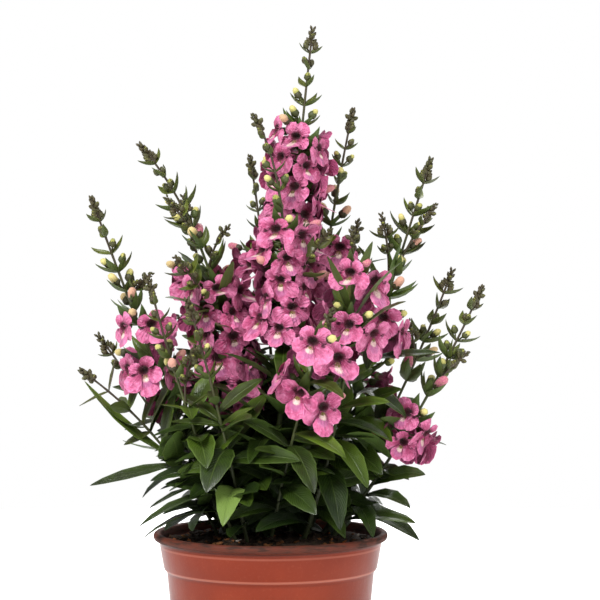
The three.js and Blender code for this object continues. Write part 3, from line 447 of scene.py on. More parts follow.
def planLeaves(plan):  # crossed pairs of leaves down the shoot, where no socket of another is too near
    shoot, facts = plan.shoot, plan.shoot.facts
    below, pair = shoot.leavesFrom, 0
    while below < shoot.total - growth["leafAboveFoot"]:
        if all(abs(socket - below) > growth["leafRoom"] for socket in shoot.sockets):
            shoot.sockets.append(below)
            spot = shoot.at(below)
            grown = grownLength(growth, shoot, below)
            for flip in (0, 1):
                draw = chance(shoot.index, draws["leaves"] + 2 * pair + flip)
                sway = growth["leafSpread"] * (draw - 0.5)
                angle = facts["start"] + sizeAt(growth["leafTurn"], pair) + 180 * flip + sway
                full = grown * sizeAt(growth["leafVaries"], draw) * math.sqrt(facts["leafy"])
                width = growth["leafHalfWidth"] * full
                plan.addBlade(plan.leaves, leafTries(spot, angle, full), width, below, draw)
        below += facts["gap"] * sizeAt(growth["gapVaries"], chance(shoot.index, draws["gaps"] + pair))
        pair += 1


def fillLeaves(plan):
    # The listed leaves, then single ones that wind down the shoot: the first turn and size whose tip stays
    # inside the crown, and not low at the front, where the large leaves show
    shoot = plan.shoot
    for height, tip, width, arch, *pale in fillingLeaves.get(shoot.name, ()):
        below = shoot.belowAt(height)
        seed = paleSeed if pale else width + arch + tip[0] / 50
        options = showLeafTries(shoot.at(below), tip, arch)
        plan.leaves.append(pick(options, 0, width=width, below=below, seed=seed))
    high, low = filling["leafEnds"]
    for k, below in enumerate(np.arange(shoot.leavesFrom + high, shoot.total - low, filling["leafStep"])):
        spot = shoot.at(below)
        bearing, length, tilt = chance(shoot.index + draws["filling"], 3 * k + np.arange(3))
        full = grownLength(filling, shoot, below) * sizeAt(filling["leafVaries"], length)
        angle = filling["leafTurn"] * k + filling["leafSway"] * bearing
        for turn, size in filling["leafTries"]:
            options = leafTries(spot, angle + turn, full * size)
            width = filling["leafHalfWidth"] * full * size
            leaf = pick(options, int(3 * tilt) * closer, width=width, below=below, seed=bearing)
            openFront = leaf["tips"][2] < filling["openBelow"] and leaf["tips"][1] < filling["openBefore"]
            if spot["centre"][2] < filling["leafTop"] and fits(leaf["tips"]) and not openFront:
                plan.leaves.append(leaf)
                break


def fillFlowers(plan, taken):
    # Flowers between those of the solids, wherever none is nearer than the shoot's spacing. Some shoots have
    # them on the far side of the winding stalks first, and some have a few below the solid's lowest.
    shoot = plan.shoot
    if not shoot.facts["flowers"]:
        return
    first, last = shoot.facts["flowers"]
    count = int((last - first) // growth["flowerStep"]) + filling["lower"].get(shoot.name, 0)
    wanted, plan.more = plan.more, []
    for turn in (180, 0) if shoot.name in filling["turned"] else (0,):
        for number in np.arange(0, count, filling["flowerStep"]):
            options = flowerTriesAt(shoot, number + filling["flowerShift"], turn)
            seed = number + 100 * shoot.index + filling["flowerShift"]
            wanted += [pick(options, i, seed=seed) for i in filling["flowerTries"]]
    apart = filling["crowded"].get(shoot.name, filling["flowerApart"])
    for flower in wanted:
        if min(np.linalg.norm(flower["heart"] - other) for other in taken) > apart:
            taken.append(flower["heart"])
            plan.more.append(flower)


plans = [planShoot(Shoot(index, facts)) for index, facts in enumerate(shoots)]
taken = [flower["heart"] for plan in plans for flower in plan.flowers]
for plan in plans:
    fillLeaves(plan)
    fillFlowers(plan, taken)
byName = {plan.shoot.name: plan.shoot for plan in plans}
plans += [planTwig(number, facts, byName[facts["on"]]) for number, facts in enumerate(twigs)]
kinds = ("leaves", "bracts", "buds", "flowers", "more")
print("planned", {kind: sum(len(getattr(plan, kind)) for plan in plans) for kind in kinds})
print("leaves and buds that the solids have:", sum(sum(plan.seen) for plan in plans))


# Meshes

def column(parts, key):  # one value of many parts, as an array
    return np.array([part[key] for part in parts], float)


def triple(a, b, c):  # three values side by side, each spread over the others' grid
    return np.stack(np.broadcast_arrays(a, b, c), axis=-1)


def ringsOn(centres, side, other, loop):  # centre + across * side + lift * other, round each ring's loop
    across, lift = loop[..., 0, None], loop[..., 1, None]
    return centres[..., None, :] + across * side[..., None, :] + lift * other[..., None, :]


def circle(count):  # unit loop: cosine and sine of equal turns
    turn = np.arange(count) * 2 * np.pi / count
    return np.stack([np.cos(turn), np.sin(turn)], axis=-1)


def lathe(profile, count):  # rows of radius and height, turned round the vertical axis
    radius, height = np.array(profile, float).T[..., None]
    across, ahead = circle(count).T
    return triple(radius * across, radius * ahead, height)[None]


class Skin:
    # Closed tubes of rings, gathered into one mesh. tone and organ are what the finishes read at each corner.
    def __init__(self):
        self.points, self.faces, self.finishes, self.organs, self.tones, self.count = [], [], [], [], [], 0

    def add(self, rings, start, end, finish=0, organ=(0, 0, 0), tone=(0, 0, 0)):
        # rings is (tubes, rings, corners, 3). Quads join neighbouring rings, and fans close both ends.
        tubes, levels, sides = rings.shape[:3]
        each = levels * sides + 2
        start, end = np.array(start, float), np.array(end, float)
        points = np.concatenate([start[:, None], rings.reshape(tubes, -1, 3), end[:, None]], axis=1)
        level, side = np.meshgrid(np.arange(levels - 1), np.arange(sides), indexing="ij")
        here, after = 1 + level * sides + side, 1 + level * sides + (side + 1) % sides
        quads = np.stack([here, after, after + sides, here + sides], axis=-1).reshape(-1, 4)
        around = np.arange(sides)
        ahead = (around + 1) % sides
        last = 1 + (levels - 1) * sides
        first, final = triple(0, 1 + ahead, 1 + around), triple(each - 1, last + around, last + ahead)
        shift = self.count + each * np.arange(tubes)[:, None, None]
        for faces in (quads, np.concatenate([first, final])):
            moved = (faces[None] + shift).reshape(-1, faces.shape[1])
            self.faces.append(moved)
            self.finishes.append(np.full(len(moved), finish))
        self.points.append(points.reshape(-1, 3))
        self.organs.append(self.spread(organ, tubes, levels, sides))
        self.tones.append(self.spread(tone, tubes, levels, sides))
        self.count += tubes * each

    def spread(self, value, tubes, levels, sides):
        # Three values at each corner, and at each end the mean of its ring
        full = np.broadcast_to(np.array(value, float), (tubes, levels, sides, 3))
        first, last = full[:, 0].mean(axis=1, keepdims=True), full[:, -1].mean(axis=1, keepdims=True)
        return np.concatenate([first, full.reshape(tubes, -1, 3), last], axis=1).reshape(-1, 3)

    def mesh(self, name):
        mesh = bpy.data.meshes.new(name)
        sizes = np.concatenate([np.full(len(faces), faces.shape[1]) for faces in self.faces])
        starts = np.concatenate([[0], np.cumsum(sizes)[:-1]])
        corners = np.concatenate([faces.ravel() for faces in self.faces])
        mesh.vertices.add(self.count)
        mesh.vertices.foreach_set("co", (np.concatenate(self.points) * mm).ravel())
        mesh.loops.add(len(corners))
        mesh.loops.foreach_set("vertex_index", corners)
        mesh.polygons.add(len(sizes))
        mesh.polygons.foreach_set("loop_start", starts)
        mesh.polygons.foreach_set("material_index", np.concatenate(self.finishes))
        mesh.polygons.foreach_set("use_smooth", np.ones(len(sizes), bool))
        for field, values in (("organ", self.organs), ("tone", self.tones)):
            layer = mesh.attributes.new(field, "FLOAT_VECTOR", "POINT")
            layer.data.foreach_set("vector", np.concatenate(values).ravel())
        mesh.update(calc_edges=True)
        mesh.validate()
        mesh.set_sharp_from_angle(angle=math.radians(80))
        return mesh


def finishPiece(name, mesh, finishes, nodes):
    piece = bpy.data.objects.new(name, mesh)
    bpy.context.scene.collection.objects.link(piece)
    for finish in finishes:
        mesh.materials.append(finish)
    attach(piece, "root")
    for node in nodes:
        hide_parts(node)


# Finishes

class Wire:
    # A socket, with arithmetic that adds Math nodes
    def __init__(self, finish, socket):
        self.finish, self.socket = finish, socket

    def maths(self, operation, *values):
        return self.finish.add("Math", {"operation": operation}, dict(enumerate(values)))

    def __add__(self, other):
        return self.maths("ADD", self, other)

    def __sub__(self, other):
        return self.maths("SUBTRACT", self, other)

    def __rsub__(self, other):
        return self.maths("SUBTRACT", other, self)

    def __mul__(self, other):
        return self.maths("MULTIPLY", self, other)

    def __truediv__(self, other):
        return self.maths("DIVIDE", self, other)

    def __pow__(self, other):
        return self.maths("POWER", self, other)

    __radd__, __rmul__ = __add__, __mul__

    def size(self):
        return self.maths("ABSOLUTE", self)

    def sine(self):
        return self.maths("SINE", self)

    def ramp(self, low, high):  # 0 at low, 1 at high, smooth between
        return self.finish.add("MapRange", {"interpolation_type": "SMOOTHSTEP"},
                               {"Value": self, "From Min": low, "From Max": high})


class Finish:
    # A material of one Principled shader, with its colours in look. Constants go on the shader's own sockets.
    def __init__(self, name, look, **constants):
        self.look, self.material = look, bpy.data.materials.new(name)
        self.material.use_nodes = True
        self.tree = self.material.node_tree
        self.tree.nodes.clear()
        output = self.tree.nodes.new("ShaderNodeOutputMaterial")
        self.shader = self.tree.nodes.new("ShaderNodeBsdfPrincipled")
        self.tree.links.new(self.shader.outputs[0], output.inputs["Surface"])
        self.wear(**constants)

    def add(self, kind, settings, inputs, output=0):
        node = self.tree.nodes.new("ShaderNode" + kind)
        for key, value in settings.items():
            setattr(node, key, value)
        for key, value in inputs.items():
            self.fill(node.inputs[key], value)
        return Wire(self, node.outputs[output])

    def fill(self, socket, value):
        if isinstance(value, Wire):
            self.tree.links.new(value.socket, socket)
        else:
            socket.default_value = value

    def field(self, name, letters="XYZ"):  # values of a mesh attribute
        vector = self.add("Attribute", {"attribute_name": name}, {}, "Vector")
        return [self.axis(vector, letter) for letter in letters]

    def place(self):
        return self.add("TexCoord", {}, {}, "Object")

    def axis(self, vector, letter):
        return self.add("SeparateXYZ", {}, {0: vector}, letter)

    def noise(self, scale, detail=2.0, roughness=0.5, place=None):  # scale in waves a metre
        return self.add("TexNoise", {}, {"Vector": place or self.place(), "Scale": scale, "Detail": detail,
                                         "Roughness": roughness}, "Fac")

    def coats(self, colour, *layers):  # each layer's colour over the ones before it, by the layer's mask
        for mask, over in layers:
            under, colour = (self.look[c] if isinstance(c, str) else c for c in (colour, over))
            colour = self.add("Mix", {"data_type": "RGBA"}, {0: mask, 6: under, 7: colour}, 2)
        return colour

    def bump(self, height, distance):  # distance in metres
        return self.add("Bump", {}, {"Height": height, "Distance": distance})

    def wear(self, **sockets):
        for key, value in sockets.items():
            self.fill(self.shader.inputs[key.replace("_", " ")], value)
        return self.material


def paint(red, green, blue):  # a colour given as 0 to 255 on screen
    share = np.array([red, green, blue]) / 255
    linear = np.where(share <= 0.04045, share / 12.92, ((share + 0.055) / 1.055) ** 2.4)
    return (*linear.tolist(), 1.0)


leafLook = {
    "dark": paint(16, 29, 8), "mid": paint(54, 79, 17), "lit": paint(102, 127, 33),
    "rib": paint(116, 140, 66), "under": paint(74, 98, 38), "bronze": paint(84, 78, 36),
    "edge": paint(122, 150, 72), "fresh": paint(114, 126, 50), "pale": paint(112, 136, 70),
    "ribEdge": (0.02, 0.08), "veins": 15, "veinRise": 0.34, "veinDepth": 0.0002, "roughness": (0.22, 0.4),
}


def leafFinish():
    # Side veins are a sine of the place along the leaf less its distance from the rib. Leaves deep in the
    # mass and low down are darker by painted shade, some leaves are painted a lighter lit green, and the
    # margin has a painted highlight. Small ones are fresher, young ones bronze, and undersides paler and
    # duller.
    look = leafLook
    f = Finish("leaf green", look, Specular_IOR_Level=0.5)
    u, across, face = f.field("organ")
    seed, young, width = f.field("tone")
    place, off = f.place(), across.size()
    cloud, fine, z = f.noise(160, 3), f.noise(1400), f.axis(place, "Z")
    middle = f.add("VectorMath", {"operation": "MULTIPLY"}, {0: place, 1: (1, 1, 0)}, "Vector")
    away = f.add("VectorMath", {"operation": "LENGTH"}, {0: middle}, "Value")
    # Mask of painted shade deep in the mass: within 28 to 56 mm of the axis and below 125 to 200 mm
    deep = (1 - away.ramp(0.028, 0.056)) * (1 - z.ramp(0.125, 0.2))
    wave = ((u * look["veins"] - off * look["veins"] * look["veinRise"] + seed) * (2 * math.pi)).sine()
    vein = wave.ramp(0.86, 1.0) * off.ramp(0.02, 0.2)
    rib = 1 - off.ramp(*look["ribEdge"])
    below = face.ramp(-0.02, -0.2)
    under = f.coats("under", (rib * 0.4 + vein * 0.2, "rib"), (young * 0.5, "bronze"))
    green = f.coats(
        "dark", (cloud.ramp(0.25, 0.7) * (0.5 + off * 0.5), "mid"),
        ((seed ** 2.0) * (0.2 + off * 0.45 + u * 0.2), "lit"),
        # The edge coat is a painted highlight along the margin, and the deep coat is painted shade in the
        # mass
        (vein * 0.2, "rib"), (rib * 0.45, "rib"), (off.ramp(0.86, 1.0) * 0.5, "edge"), (deep * 0.75, "dark"),
        # Painted shade on low leaves, below 110 to 175 mm
        ((1 - z.ramp(0.11, 0.175)) * (0.8 - seed * 0.3), "dark"),
        ((1 - width.ramp(1.6, 3.2)) * (0.4 + seed * 0.5), "fresh"),
        (young * (0.25 + (1 - seed) * 0.45), "bronze"),
        (seed.ramp(1.2, 1.8) * (0.85 - cloud * 0.3), "pale"), (below, under))
    smooth, rough = look["roughness"]
    dull = f.add("MapRange", {}, {"Value": fine, "To Min": smooth, "To Max": rough}) + below * 0.2
    relief = f.bump(wave.ramp(0.6, 1.0) * -0.6 - rib * 0.8 + fine * 0.1 + cloud, look["veinDepth"])
    return f.wear(Base_Color=green, Roughness=dull, Normal=relief)


stemLook = {"low": paint(66, 76, 34), "high": paint(60, 50, 34), "lit": paint(98, 104, 52),
            "dark": paint(34, 40, 18)}


def stemFinish():  # green below and brown above, streaked, and dark where the leaves shade it
    f = Finish("stem", stemLook, Specular_IOR_Level=0.4)
    [young] = f.field("tone", "Y")
    fine, streak, z = f.noise(2600), f.noise(220), f.axis(f.place(), "Z")
    colour = f.coats("low", (young, "high"), (streak.ramp(0.45, 0.75) * (1 - young) * 0.6, "lit"),
                     ((1 - z.ramp(0.13, 0.17)) * 0.8, "dark"))
    return f.wear(Base_Color=colour, Roughness=0.45 + 0.2 * fine, Normal=f.bump(fine, 0.0001))


budLook = {
    "sepal": paint(64, 78, 30), "sepalDark": paint(68, 60, 36), "sepalTip": paint(52, 36, 32),
    "green": paint(132, 136, 56), "yellow": paint(204, 194, 122), "peach": paint(202, 144, 130),
    "pink": paint(190, 96, 128),
}


def sepalFinish():
    f = Finish("calyx", budLook, Specular_IOR_Level=0.4)
    [u] = f.field("organ", "X")
    seed, young, ripe = f.field("tone")
    fine = f.noise(1800)
    colour = f.coats("sepal", ((young * 0.8 + seed * 0.4) * 0.9, "sepalDark"),
                     (ripe.ramp(0.25, 0.7) * 0.6, "sepalTip"), (u.ramp(0.5, 1.0) * 0.6, "sepalTip"))
    return f.wear(Base_Color=colour, Roughness=0.42 + 0.2 * fine, Normal=f.bump(fine, 0.0001))


def budFinish():  # green buds turn yellow, peach and pink as they ripen, from the tip down
    f = Finish("closed petals", budLook, Specular_IOR_Level=0.3, Sheen_Weight=0.2)
    [u] = f.field("organ", "X")
    seed, ripe = f.field("tone", "XZ")
    fine, late = f.noise(1500), ripe + seed * 0.3
    colour = f.coats("green", (ripe.ramp(0.04, 0.4) * u.ramp(-0.1, 0.75), "yellow"),
                     (late.ramp(0.75, 1.0), "peach"), (late.ramp(1.0, 1.25) * fine.ramp(0.3, 0.6), "pink"))
    return f.wear(Base_Color=colour, Roughness=0.5 + 0.2 * fine, Normal=f.bump(fine, 0.00012))


petalLook = {
    "deep": paint(140, 36, 78), "mid": paint(193, 84, 129), "pale": paint(222, 128, 170),
    "back": paint(170, 76, 118), "tube": paint(110, 56, 70), "throat": paint(72, 14, 30),
    "fringe": paint(112, 100, 42), "patch": paint(230, 200, 190), "lilac": paint(170, 104, 150),
    # light is the colour of the painted highlights on the crests of the creases
    "spot": paint(60, 14, 34), "light": paint(240, 164, 204), "veins": 30, "ragged": 0.55,
}


def petalFinish():
    # Pink that pales to the rim, creased and finely veined, with painted shade in the creases and a painted
    # highlight on their crests. On the face lie ellipses with ragged edges: middle, half sizes, and how far
    # out they begin and end to fade, in the flower's own millimetres.
    look = petalLook
    f = Finish("petals", look, Specular_IOR_Level=0.2, Sheen_Weight=0.1, Sheen_Roughness=0.5)
    x, y, face = f.field("organ")
    seed, share = f.field("tone", "XZ")
    cloud, fine, crease = f.noise(240, 3), f.noise(1500, 3, 0.6), f.noise(420, 3, 0.6)
    ragged = (fine - 0.5) * look["ragged"]

    def within(cx, cy, rx, ry, low=0.6, high=1.2):
        out = (((x - cx) / rx) ** 2.0 + ((y - cy) / ry) ** 2.0) ** 0.5 + ragged
        return 1 - out.ramp(low, high)

    bearing = f.add("Math", {"operation": "ARCTAN2"}, {0: y - 0.8, 1: x})
    vein = (bearing * look["veins"] + cloud * 9).sine()
    back = f.coats("back", (1 - share.ramp(0.0, 0.3), "tube"))
    pink = f.coats(
        "mid", (cloud.ramp(0.35, 0.65) * 0.6 + seed * 0.4, "pale"),
        ((1 - share.ramp(0.1, 0.75)) * 0.75, "deep"),
        (vein.ramp(0.2, 1.0) * (1 - share.ramp(0.3, 0.7)) * 0.2, "deep"),
        (share.ramp(0.82, 1.0) * 0.4, "pale"),
        # Painted shade where the crease noise is low and a painted highlight where it is high, as in its bump
        ((1 - crease.ramp(0.32, 0.5)) * 0.45, "deep"), (crease.ramp(0.52, 0.68) * 0.4, "light"),
        (within(0, -6.0, 3.4, 2.6) * 0.5, "lilac"),
        (within(0, -4.1, 2.1, 1.5) * (0.6 + 0.4 * crease.ramp(0.4, 0.55)), "patch"),
        ((within(5.6, 0.1, 1.3, 1.0, 0.5) + within(-5.6, 0.1, 1.3, 1.0, 0.5)) * 0.85, "spot"),
        (within(0, 0.9, 3.2, 2.5, 0.7, 1.25), "throat"),
        (within(0, -2.5, 1.8, 1.0) * fine.ramp(0.4, 0.5), "fringe"), (face.ramp(-0.02, -0.2), back))
    relief = f.bump(vein * 0.1 + fine * 0.4 + crease, 0.0012)
    return f.wear(Base_Color=pink, Roughness=0.5 + 0.25 * fine, Normal=relief)


greens = {"leaf": leafFinish(), "stem": stemFinish(), "sepal": sepalFinish(), "bud": budFinish()}
petals = petalFinish()
leafPart, stemPart, sepalPart, budPart = range(len(greens))

# Leafy stems

stem = {
    "rings": 40, "from": 12, "ends": (8, 4, 1.5), "sides": 9, "knot": 1.6, "swelling": 0.18,
    "young": (20, 80),
    # distances below the tip, and the share of the solid's radius there
    "thin": ((0, 60, 110, 180), (0.8, 0.68, 0.62, 0.9)),
}


def addStem(skin, shoot):
    # A round stem: ring radius grows from the tip to the foot, with a slight swelling where leaves part
    below = np.concatenate([np.linspace(shoot.total, stem["from"], stem["rings"]), stem["ends"]])
    spot = shoot.at(below)
    near = ((below[:, None] - np.array(shoot.sockets)) / stem["knot"]) ** 2
    swelling = 1 + stem["swelling"] * np.exp(-near).max(axis=1)
    radius = (np.interp(below, *stem["thin"]) * spot["radius"] * swelling)[:, None]
    rings = ringsOn(spot["centre"], spot["side"], spot["other"], radius[..., None] * circle(stem["sides"]))
    young = 1 - fade(*stem["young"], below)[:, None]
    tone = triple(chance(shoot.index, 3), young, radius + np.zeros(stem["sides"]))
    foot = spot["centre"][:1] - spot["tangent"][:1]
    skin.add(rings[None], foot, shoot.at(0)["centre"][None], stemPart, tone=tone)


blade = {
    # for each form: how much the halves fold up, the most roll, the turn to the front, the bow of the rib,
    # its teeth, the powers of its outline, and its half width over the leaf's
    "large": {"fold": 0.22, "roll": 16, "facing": 30, "bow": 0.0, "teeth": 3, "outline": (0.92, 0.74),
              "broad": 1.06},
    "middle": {"fold": 0.3, "roll": 26, "facing": 20, "bow": 0.08, "teeth": 2, "outline": (0.86, 0.8),
               "broad": 1.06},
    "bract": {"fold": 0.6, "roll": 40, "facing": 0, "bow": 0.22, "teeth": 0, "outline": (0.72, 0.9),
              "broad": 1.113},
    "twist": 36, "swell": 0.08, "thick": (0.55, 0.2), "groove": 0.1, "ripple": 0.03, "stalkWidth": 0.55,
    "plain": (0.0, 0.07, 0.2, 0.38, 0.58, 0.78, 0.93), "toothed": (0.16, 0.88), "tooth": (-0.02, 0.04),
    # the corners of each ring: how far across, and 1 on the upper side, 0 at an edge, -1 under the rib
    "across": (1, 0.5, 0, -0.5, -1, 0), "over": (0, 1, 1, 1, 0, -1), "youngTo": 90,
}


def bladeStations(teeth):  # shares along the rib, and how much a tooth widens the blade there
    if not teeth:
        return np.array(blade["plain"]), 0
    start, end = blade["toothed"]
    dip, peak = blade["tooth"]
    step = (end - start) / teeth
    rows = [(0, 0), (0.05, 0), (0.1, 0)]
    for k in range(teeth):
        rows += [(start + k * step, dip), (start + (k + 0.8) * step, peak)]
    return np.array(rows + [(0.93, dip), (0.975, 0)]).T


def addBlades(skin, blades, form):
    # A thin keeled blade: its rib runs root + u reach + u^2 sag, bowed by u - u^3, and its half width is a
    # power of a sine with teeth. Each half swells by a sine across it and ripples at its edge.
    if not blades:
        return
    facts = blade[form]
    u, tooth = bladeStations(facts["teeth"])
    root, reach, sag, lay = (column(blades, key)[:, None] for key in ("root", "reach", "sag", "side"))
    width, seed, below = (column(blades, key)[:, None] for key in ("width", "seed", "below"))
    t = u[None, :, None]
    way = unit(reach + 2 * t * sag)
    side = unit(lay - way * dot(lay, way))
    normal = np.cross(way, side)
    length = np.linalg.norm(reach + sag, axis=-1)
    centre = root + t * reach + t * t * sag - facts["bow"] * length[..., None] * (t - t ** 3) * normal
    way = unit(way - facts["bow"] * (1 - 3 * t * t) * normal)
    normal = np.cross(way, side)
    roll = facts["roll"] * 2 * (chance(seed, 17) - 0.5)[..., None]
    roll = roll + blade["twist"] * (chance(seed, 19)[..., None] - 0.5) * t
    ahead = side[..., 1:2]
    roll = roll + facts["facing"] * np.where(ahead > 0, 1, 0.5) * ahead
    side, normal = turned(roll, side, normal), turned(roll, normal, -side)
    first, power = facts["outline"]
    shape = np.sin(np.pi * u ** first) ** power * (1 + tooth)
    stalk = blade["stalkWidth"] * (1 - u) * fade(-1, 8, length)
    half = np.maximum(width * shape * facts["broad"], stalk)[..., None]
    across, over, u = np.array(blade["across"]), np.array(blade["over"]), u[:, None]
    off = np.abs(across)
    wave = np.sin(u * 23 + 6.3 * chance(seed, 5)[..., None] + 2 * across) * off ** 2
    lift = half * (facts["fold"] * off + blade["swell"] * np.sin(np.pi * off) + blade["ripple"] * wave)
    thick = np.interp(off, (0, 1), blade["thick"]) * over * fade(0, 8, length)[..., None] / 2 * (1 - 0.5 * u)
    groove = blade["groove"] * (across == 0) * (over > 0) * (1 - u) * np.minimum(half, 1)
    rings = ringsOn(centre, side, normal, np.stack([half * across, lift + thick - groove], axis=-1))
    tint = np.where(seed == paleSeed, 2, chance(seed, 11))[..., None]
    young = 1 - fade(0, blade["youngTo"], below)[..., None]
    skin.add(rings, centre[:, 0] - way[:, 0] * 0.1, (root + reach + sag)[:, 0], leafPart,
             triple(u, across, over), triple(tint, young, width[..., None]))


bud = {
    "stalkRadius": 0.4, "stalkShape": (1.1, 0.9, 1.3), "stalkSides": 4, "bendAt": 0.55,
    "sepals": 5, "sides": 6,
    # how far below the tip buds ripen and grow old, how ripe they get by chance, and what ripening does
    "ripens": (14, 66), "ripest": (0.15, 1.05), "young": (5, 60), "opens": (0.1, 0.7), "swells": (0.8, 0.3),
    "stretches": (1, 0.4), "comesOut": 0.5, "calyxShrinks": 0.12,
    # radius and height of the calyx's rings over the bud's radius: its foot, belly, waist, points and inside
    "calyx": ((0.45, -1.1), (1.05, -0.45), (1.0, 0.3), (0.9, 0.5), (0.6, 0.1)), "flare": (0.2, 0.8),
    # radius and height of each ring of a closed flower and of a shoot's youngest buds, over the bud's radius
    "drop": ((0.75, -0.3), (0.98, 0.35), (0.9, 1.0), (0.52, 1.46)), "dropEnd": 1.64,
    "scale": ((0.5, -1.0), (0.95, -0.3), (0.85, 0.6), (0.4, 1.35)), "scaleEnd": 1.8,
    "youngAt": (7.6, 5.6, 3.8, 2.1, 0.6), "youngRadius": (0.75, 0.08), "youngLean": (20, 3), "onTwig": 0.8,
    "cupRadius": 2.0, "cupOpen": 0.7,
}


def addStalks(skin, starts, ends, way, tone):  # thin stalks that bend from the stem into the bud
    lengths = np.linalg.norm(ends - starts, axis=-1, keepdims=True)
    bend = starts + bud["bendAt"] * lengths * unit(0.6 * unit(ends - starts) + 0.4 * way)
    starts, bend, ends = starts[:, None], bend[:, None], ends[:, None]
    t = np.array([0.0, 0.5, 1.0])[None, :, None]
    centre = (1 - t) ** 2 * starts + 2 * t * (1 - t) * bend + t * t * ends
    run = unit(2 * (1 - t) * (bend - starts) + 2 * t * (ends - bend))
    side = unit(np.cross(run, up + 0.01))
    radius = bud["stalkRadius"] * np.array(bud["stalkShape"])
    rings = ringsOn(centre, side, np.cross(run, side), radius[:, None, None] * circle(bud["stalkSides"]))
    skin.add(rings, centre[:, 0], centre[:, -1], stemPart, tone=tone[:, None, None])


def roundAxis(centre, way, side, radial, height):  # rings of radii and heights about an axis
    across, ahead = circle(radial.shape[-1]).T[..., None]
    out = across * side[:, None] + ahead * np.cross(way, side)[:, None]
    return centre[:, None, None] + radial[..., None] * out[:, None] + height[..., None] * way[:, None, None]


def addCalyxes(skin, centre, way, side, radius, opened, tone):
    # A cup of five pointed sepals: radius and height of each ring over the bud's radius, the sepals' points
    # on every second corner drawn out along it, and the inside turned back to the middle
    point = np.tile([1.0, 0.0], bud["sepals"])
    flare = sizeAt(bud["flare"], opened)[:, None]
    grid = np.ones((len(radius), len(bud["calyx"]), len(point)))
    wide, height = (rows * grid for rows in np.array(bud["calyx"]).T[..., None])
    radial, size = wide.copy(), radius[:, None, None]
    radial[:, 2] += 0.05 * point
    radial[:, 3] = point * flare + (1 - point) * wide[:, 3]
    height[:, 3] += point
    rings = roundAxis(centre, way, side, size * radial, size * height)
    skin.add(rings, centre - 1.2 * radius[:, None] * way, centre - 0.1 * radius[:, None] * way, sepalPart,
             triple(height / 1.5, 0, 0), tone[:, None, None])


def addDrops(skin, centre, way, side, radius, form, part, tone, stretch=1.0):
    # A drop turned round its own axis: the profile's radius and height over the bud's, a little lopsided
    end, sides = bud[form + "End"], bud["sides"]
    radial, height = np.array(bud[form]).T[..., None]
    lobes = 1 + 0.08 * np.cos(2 * np.pi * np.arange(sides) / 3)
    long = (radius * stretch)[:, None]
    rings = roundAxis(centre, way, side, radius[:, None, None] * radial * lobes, long[..., None] * height)
    skin.add(rings, centre + (height[0] - 0.15) * long * way, centre + end * long * way, part,
             triple(height / end, height / end, height / end), tone[:, None, None])


def addBuds(skin, buds):  # the lower a bud, the riper it is: larger, longer and farther out of its open calyx
    if not buds:
        return
    root, belly, way, side, radius, below, seed = (
        column(buds, key) for key in ("root", "belly", "way", "side", "radius", "below", "seed"))
    ripe = fade(*bud["ripens"], below) * sizeAt(bud["ripest"], chance(seed, 3))
    tone = triple(chance(seed, 7), 1 - fade(*bud["young"], below), ripe)
    addStalks(skin, root, belly - radius[:, None] * way, way, tone)
    cup = radius * (1 - bud["calyxShrinks"] * ripe)
    addCalyxes(skin, belly, way, side, cup, sizeAt(bud["opens"], ripe), tone)
    middle = belly + (bud["comesOut"] * radius * ripe)[:, None] * way
    addDrops(skin, middle, way, side, radius * sizeAt(bud["swells"], ripe), "drop", budPart, tone,
             sizeAt(bud["stretches"], ripe))


def addYoungBuds(skin, shoot):
    # The crowded youngest buds at the end of a shoot, in crossed pairs that lap over one another
    levels = np.repeat(np.array(bud["youngAt"]), 2)
    flips = np.tile([0, 180], 5) + np.repeat(90 * np.arange(5), 2) + shoot.facts["start"]
    spot = shoot.at(levels)
    away = turned(flips[:, None], spot["side"], spot["other"])
    radius = sizeAt(bud["youngRadius"], levels) * (bud["onTwig"] if "on" in shoot.facts else 1)
    way = turned(sizeAt(bud["youngLean"], levels)[:, None], spot["tangent"], away)
    belly = spot["centre"] + away * (0.35 + 0.7 * radius[:, None]) + spot["tangent"] * 0.8
    addDrops(skin, belly, way, np.cross(spot["tangent"], away), radius, "scale", sepalPart,
             triple(chance(flips, 7), 0.9, 0))


def addCups(skin, flowers):  # the stalk and calyx of each open flower
    root, neck, facing, across, seed = (
        column(flowers, key) for key in ("root", "neck", "facing", "across", "seed"))
    radius, opened = np.full(len(seed), bud["cupRadius"]), np.full(len(seed), bud["cupOpen"])
    tone = triple(chance(seed, 7), 0.2, 0)
    addStalks(skin, root, neck - 1.6 * facing, facing, tone)
    addCalyxes(skin, neck + 0.4 * facing, facing, across, radius, opened, tone)


def makeStem(plan):
    skin, shoot = Skin(), plan.shoot
    addStem(skin, shoot)
    large = [np.linalg.norm(leaf["reach"] + leaf["sag"]) > growth["leafLarge"] for leaf in plan.leaves]
    addBlades(skin, [leaf for leaf, big in zip(plan.leaves, large) if big], "large")
    addBlades(skin, [leaf for leaf, big in zip(plan.leaves, large) if not big], "middle")
    addBlades(skin, plan.bracts, "bract")
    addBuds(skin, plan.buds)
    addYoungBuds(skin, shoot)
    if plan.flowers:
        addCups(skin, plan.flowers + plan.more)
    onTwig = "on" in shoot.facts
    name = ("twig_" if onTwig else "leafy_") + shoot.name
    nodes = [] if onTwig else ["stem_" + shoot.name]
    finishPiece(name, skin.mesh(name), greens.values(), nodes)


for plan in plans:
    makeStem(plan)
print("leafy stems made:", len(plans))

# Flowers

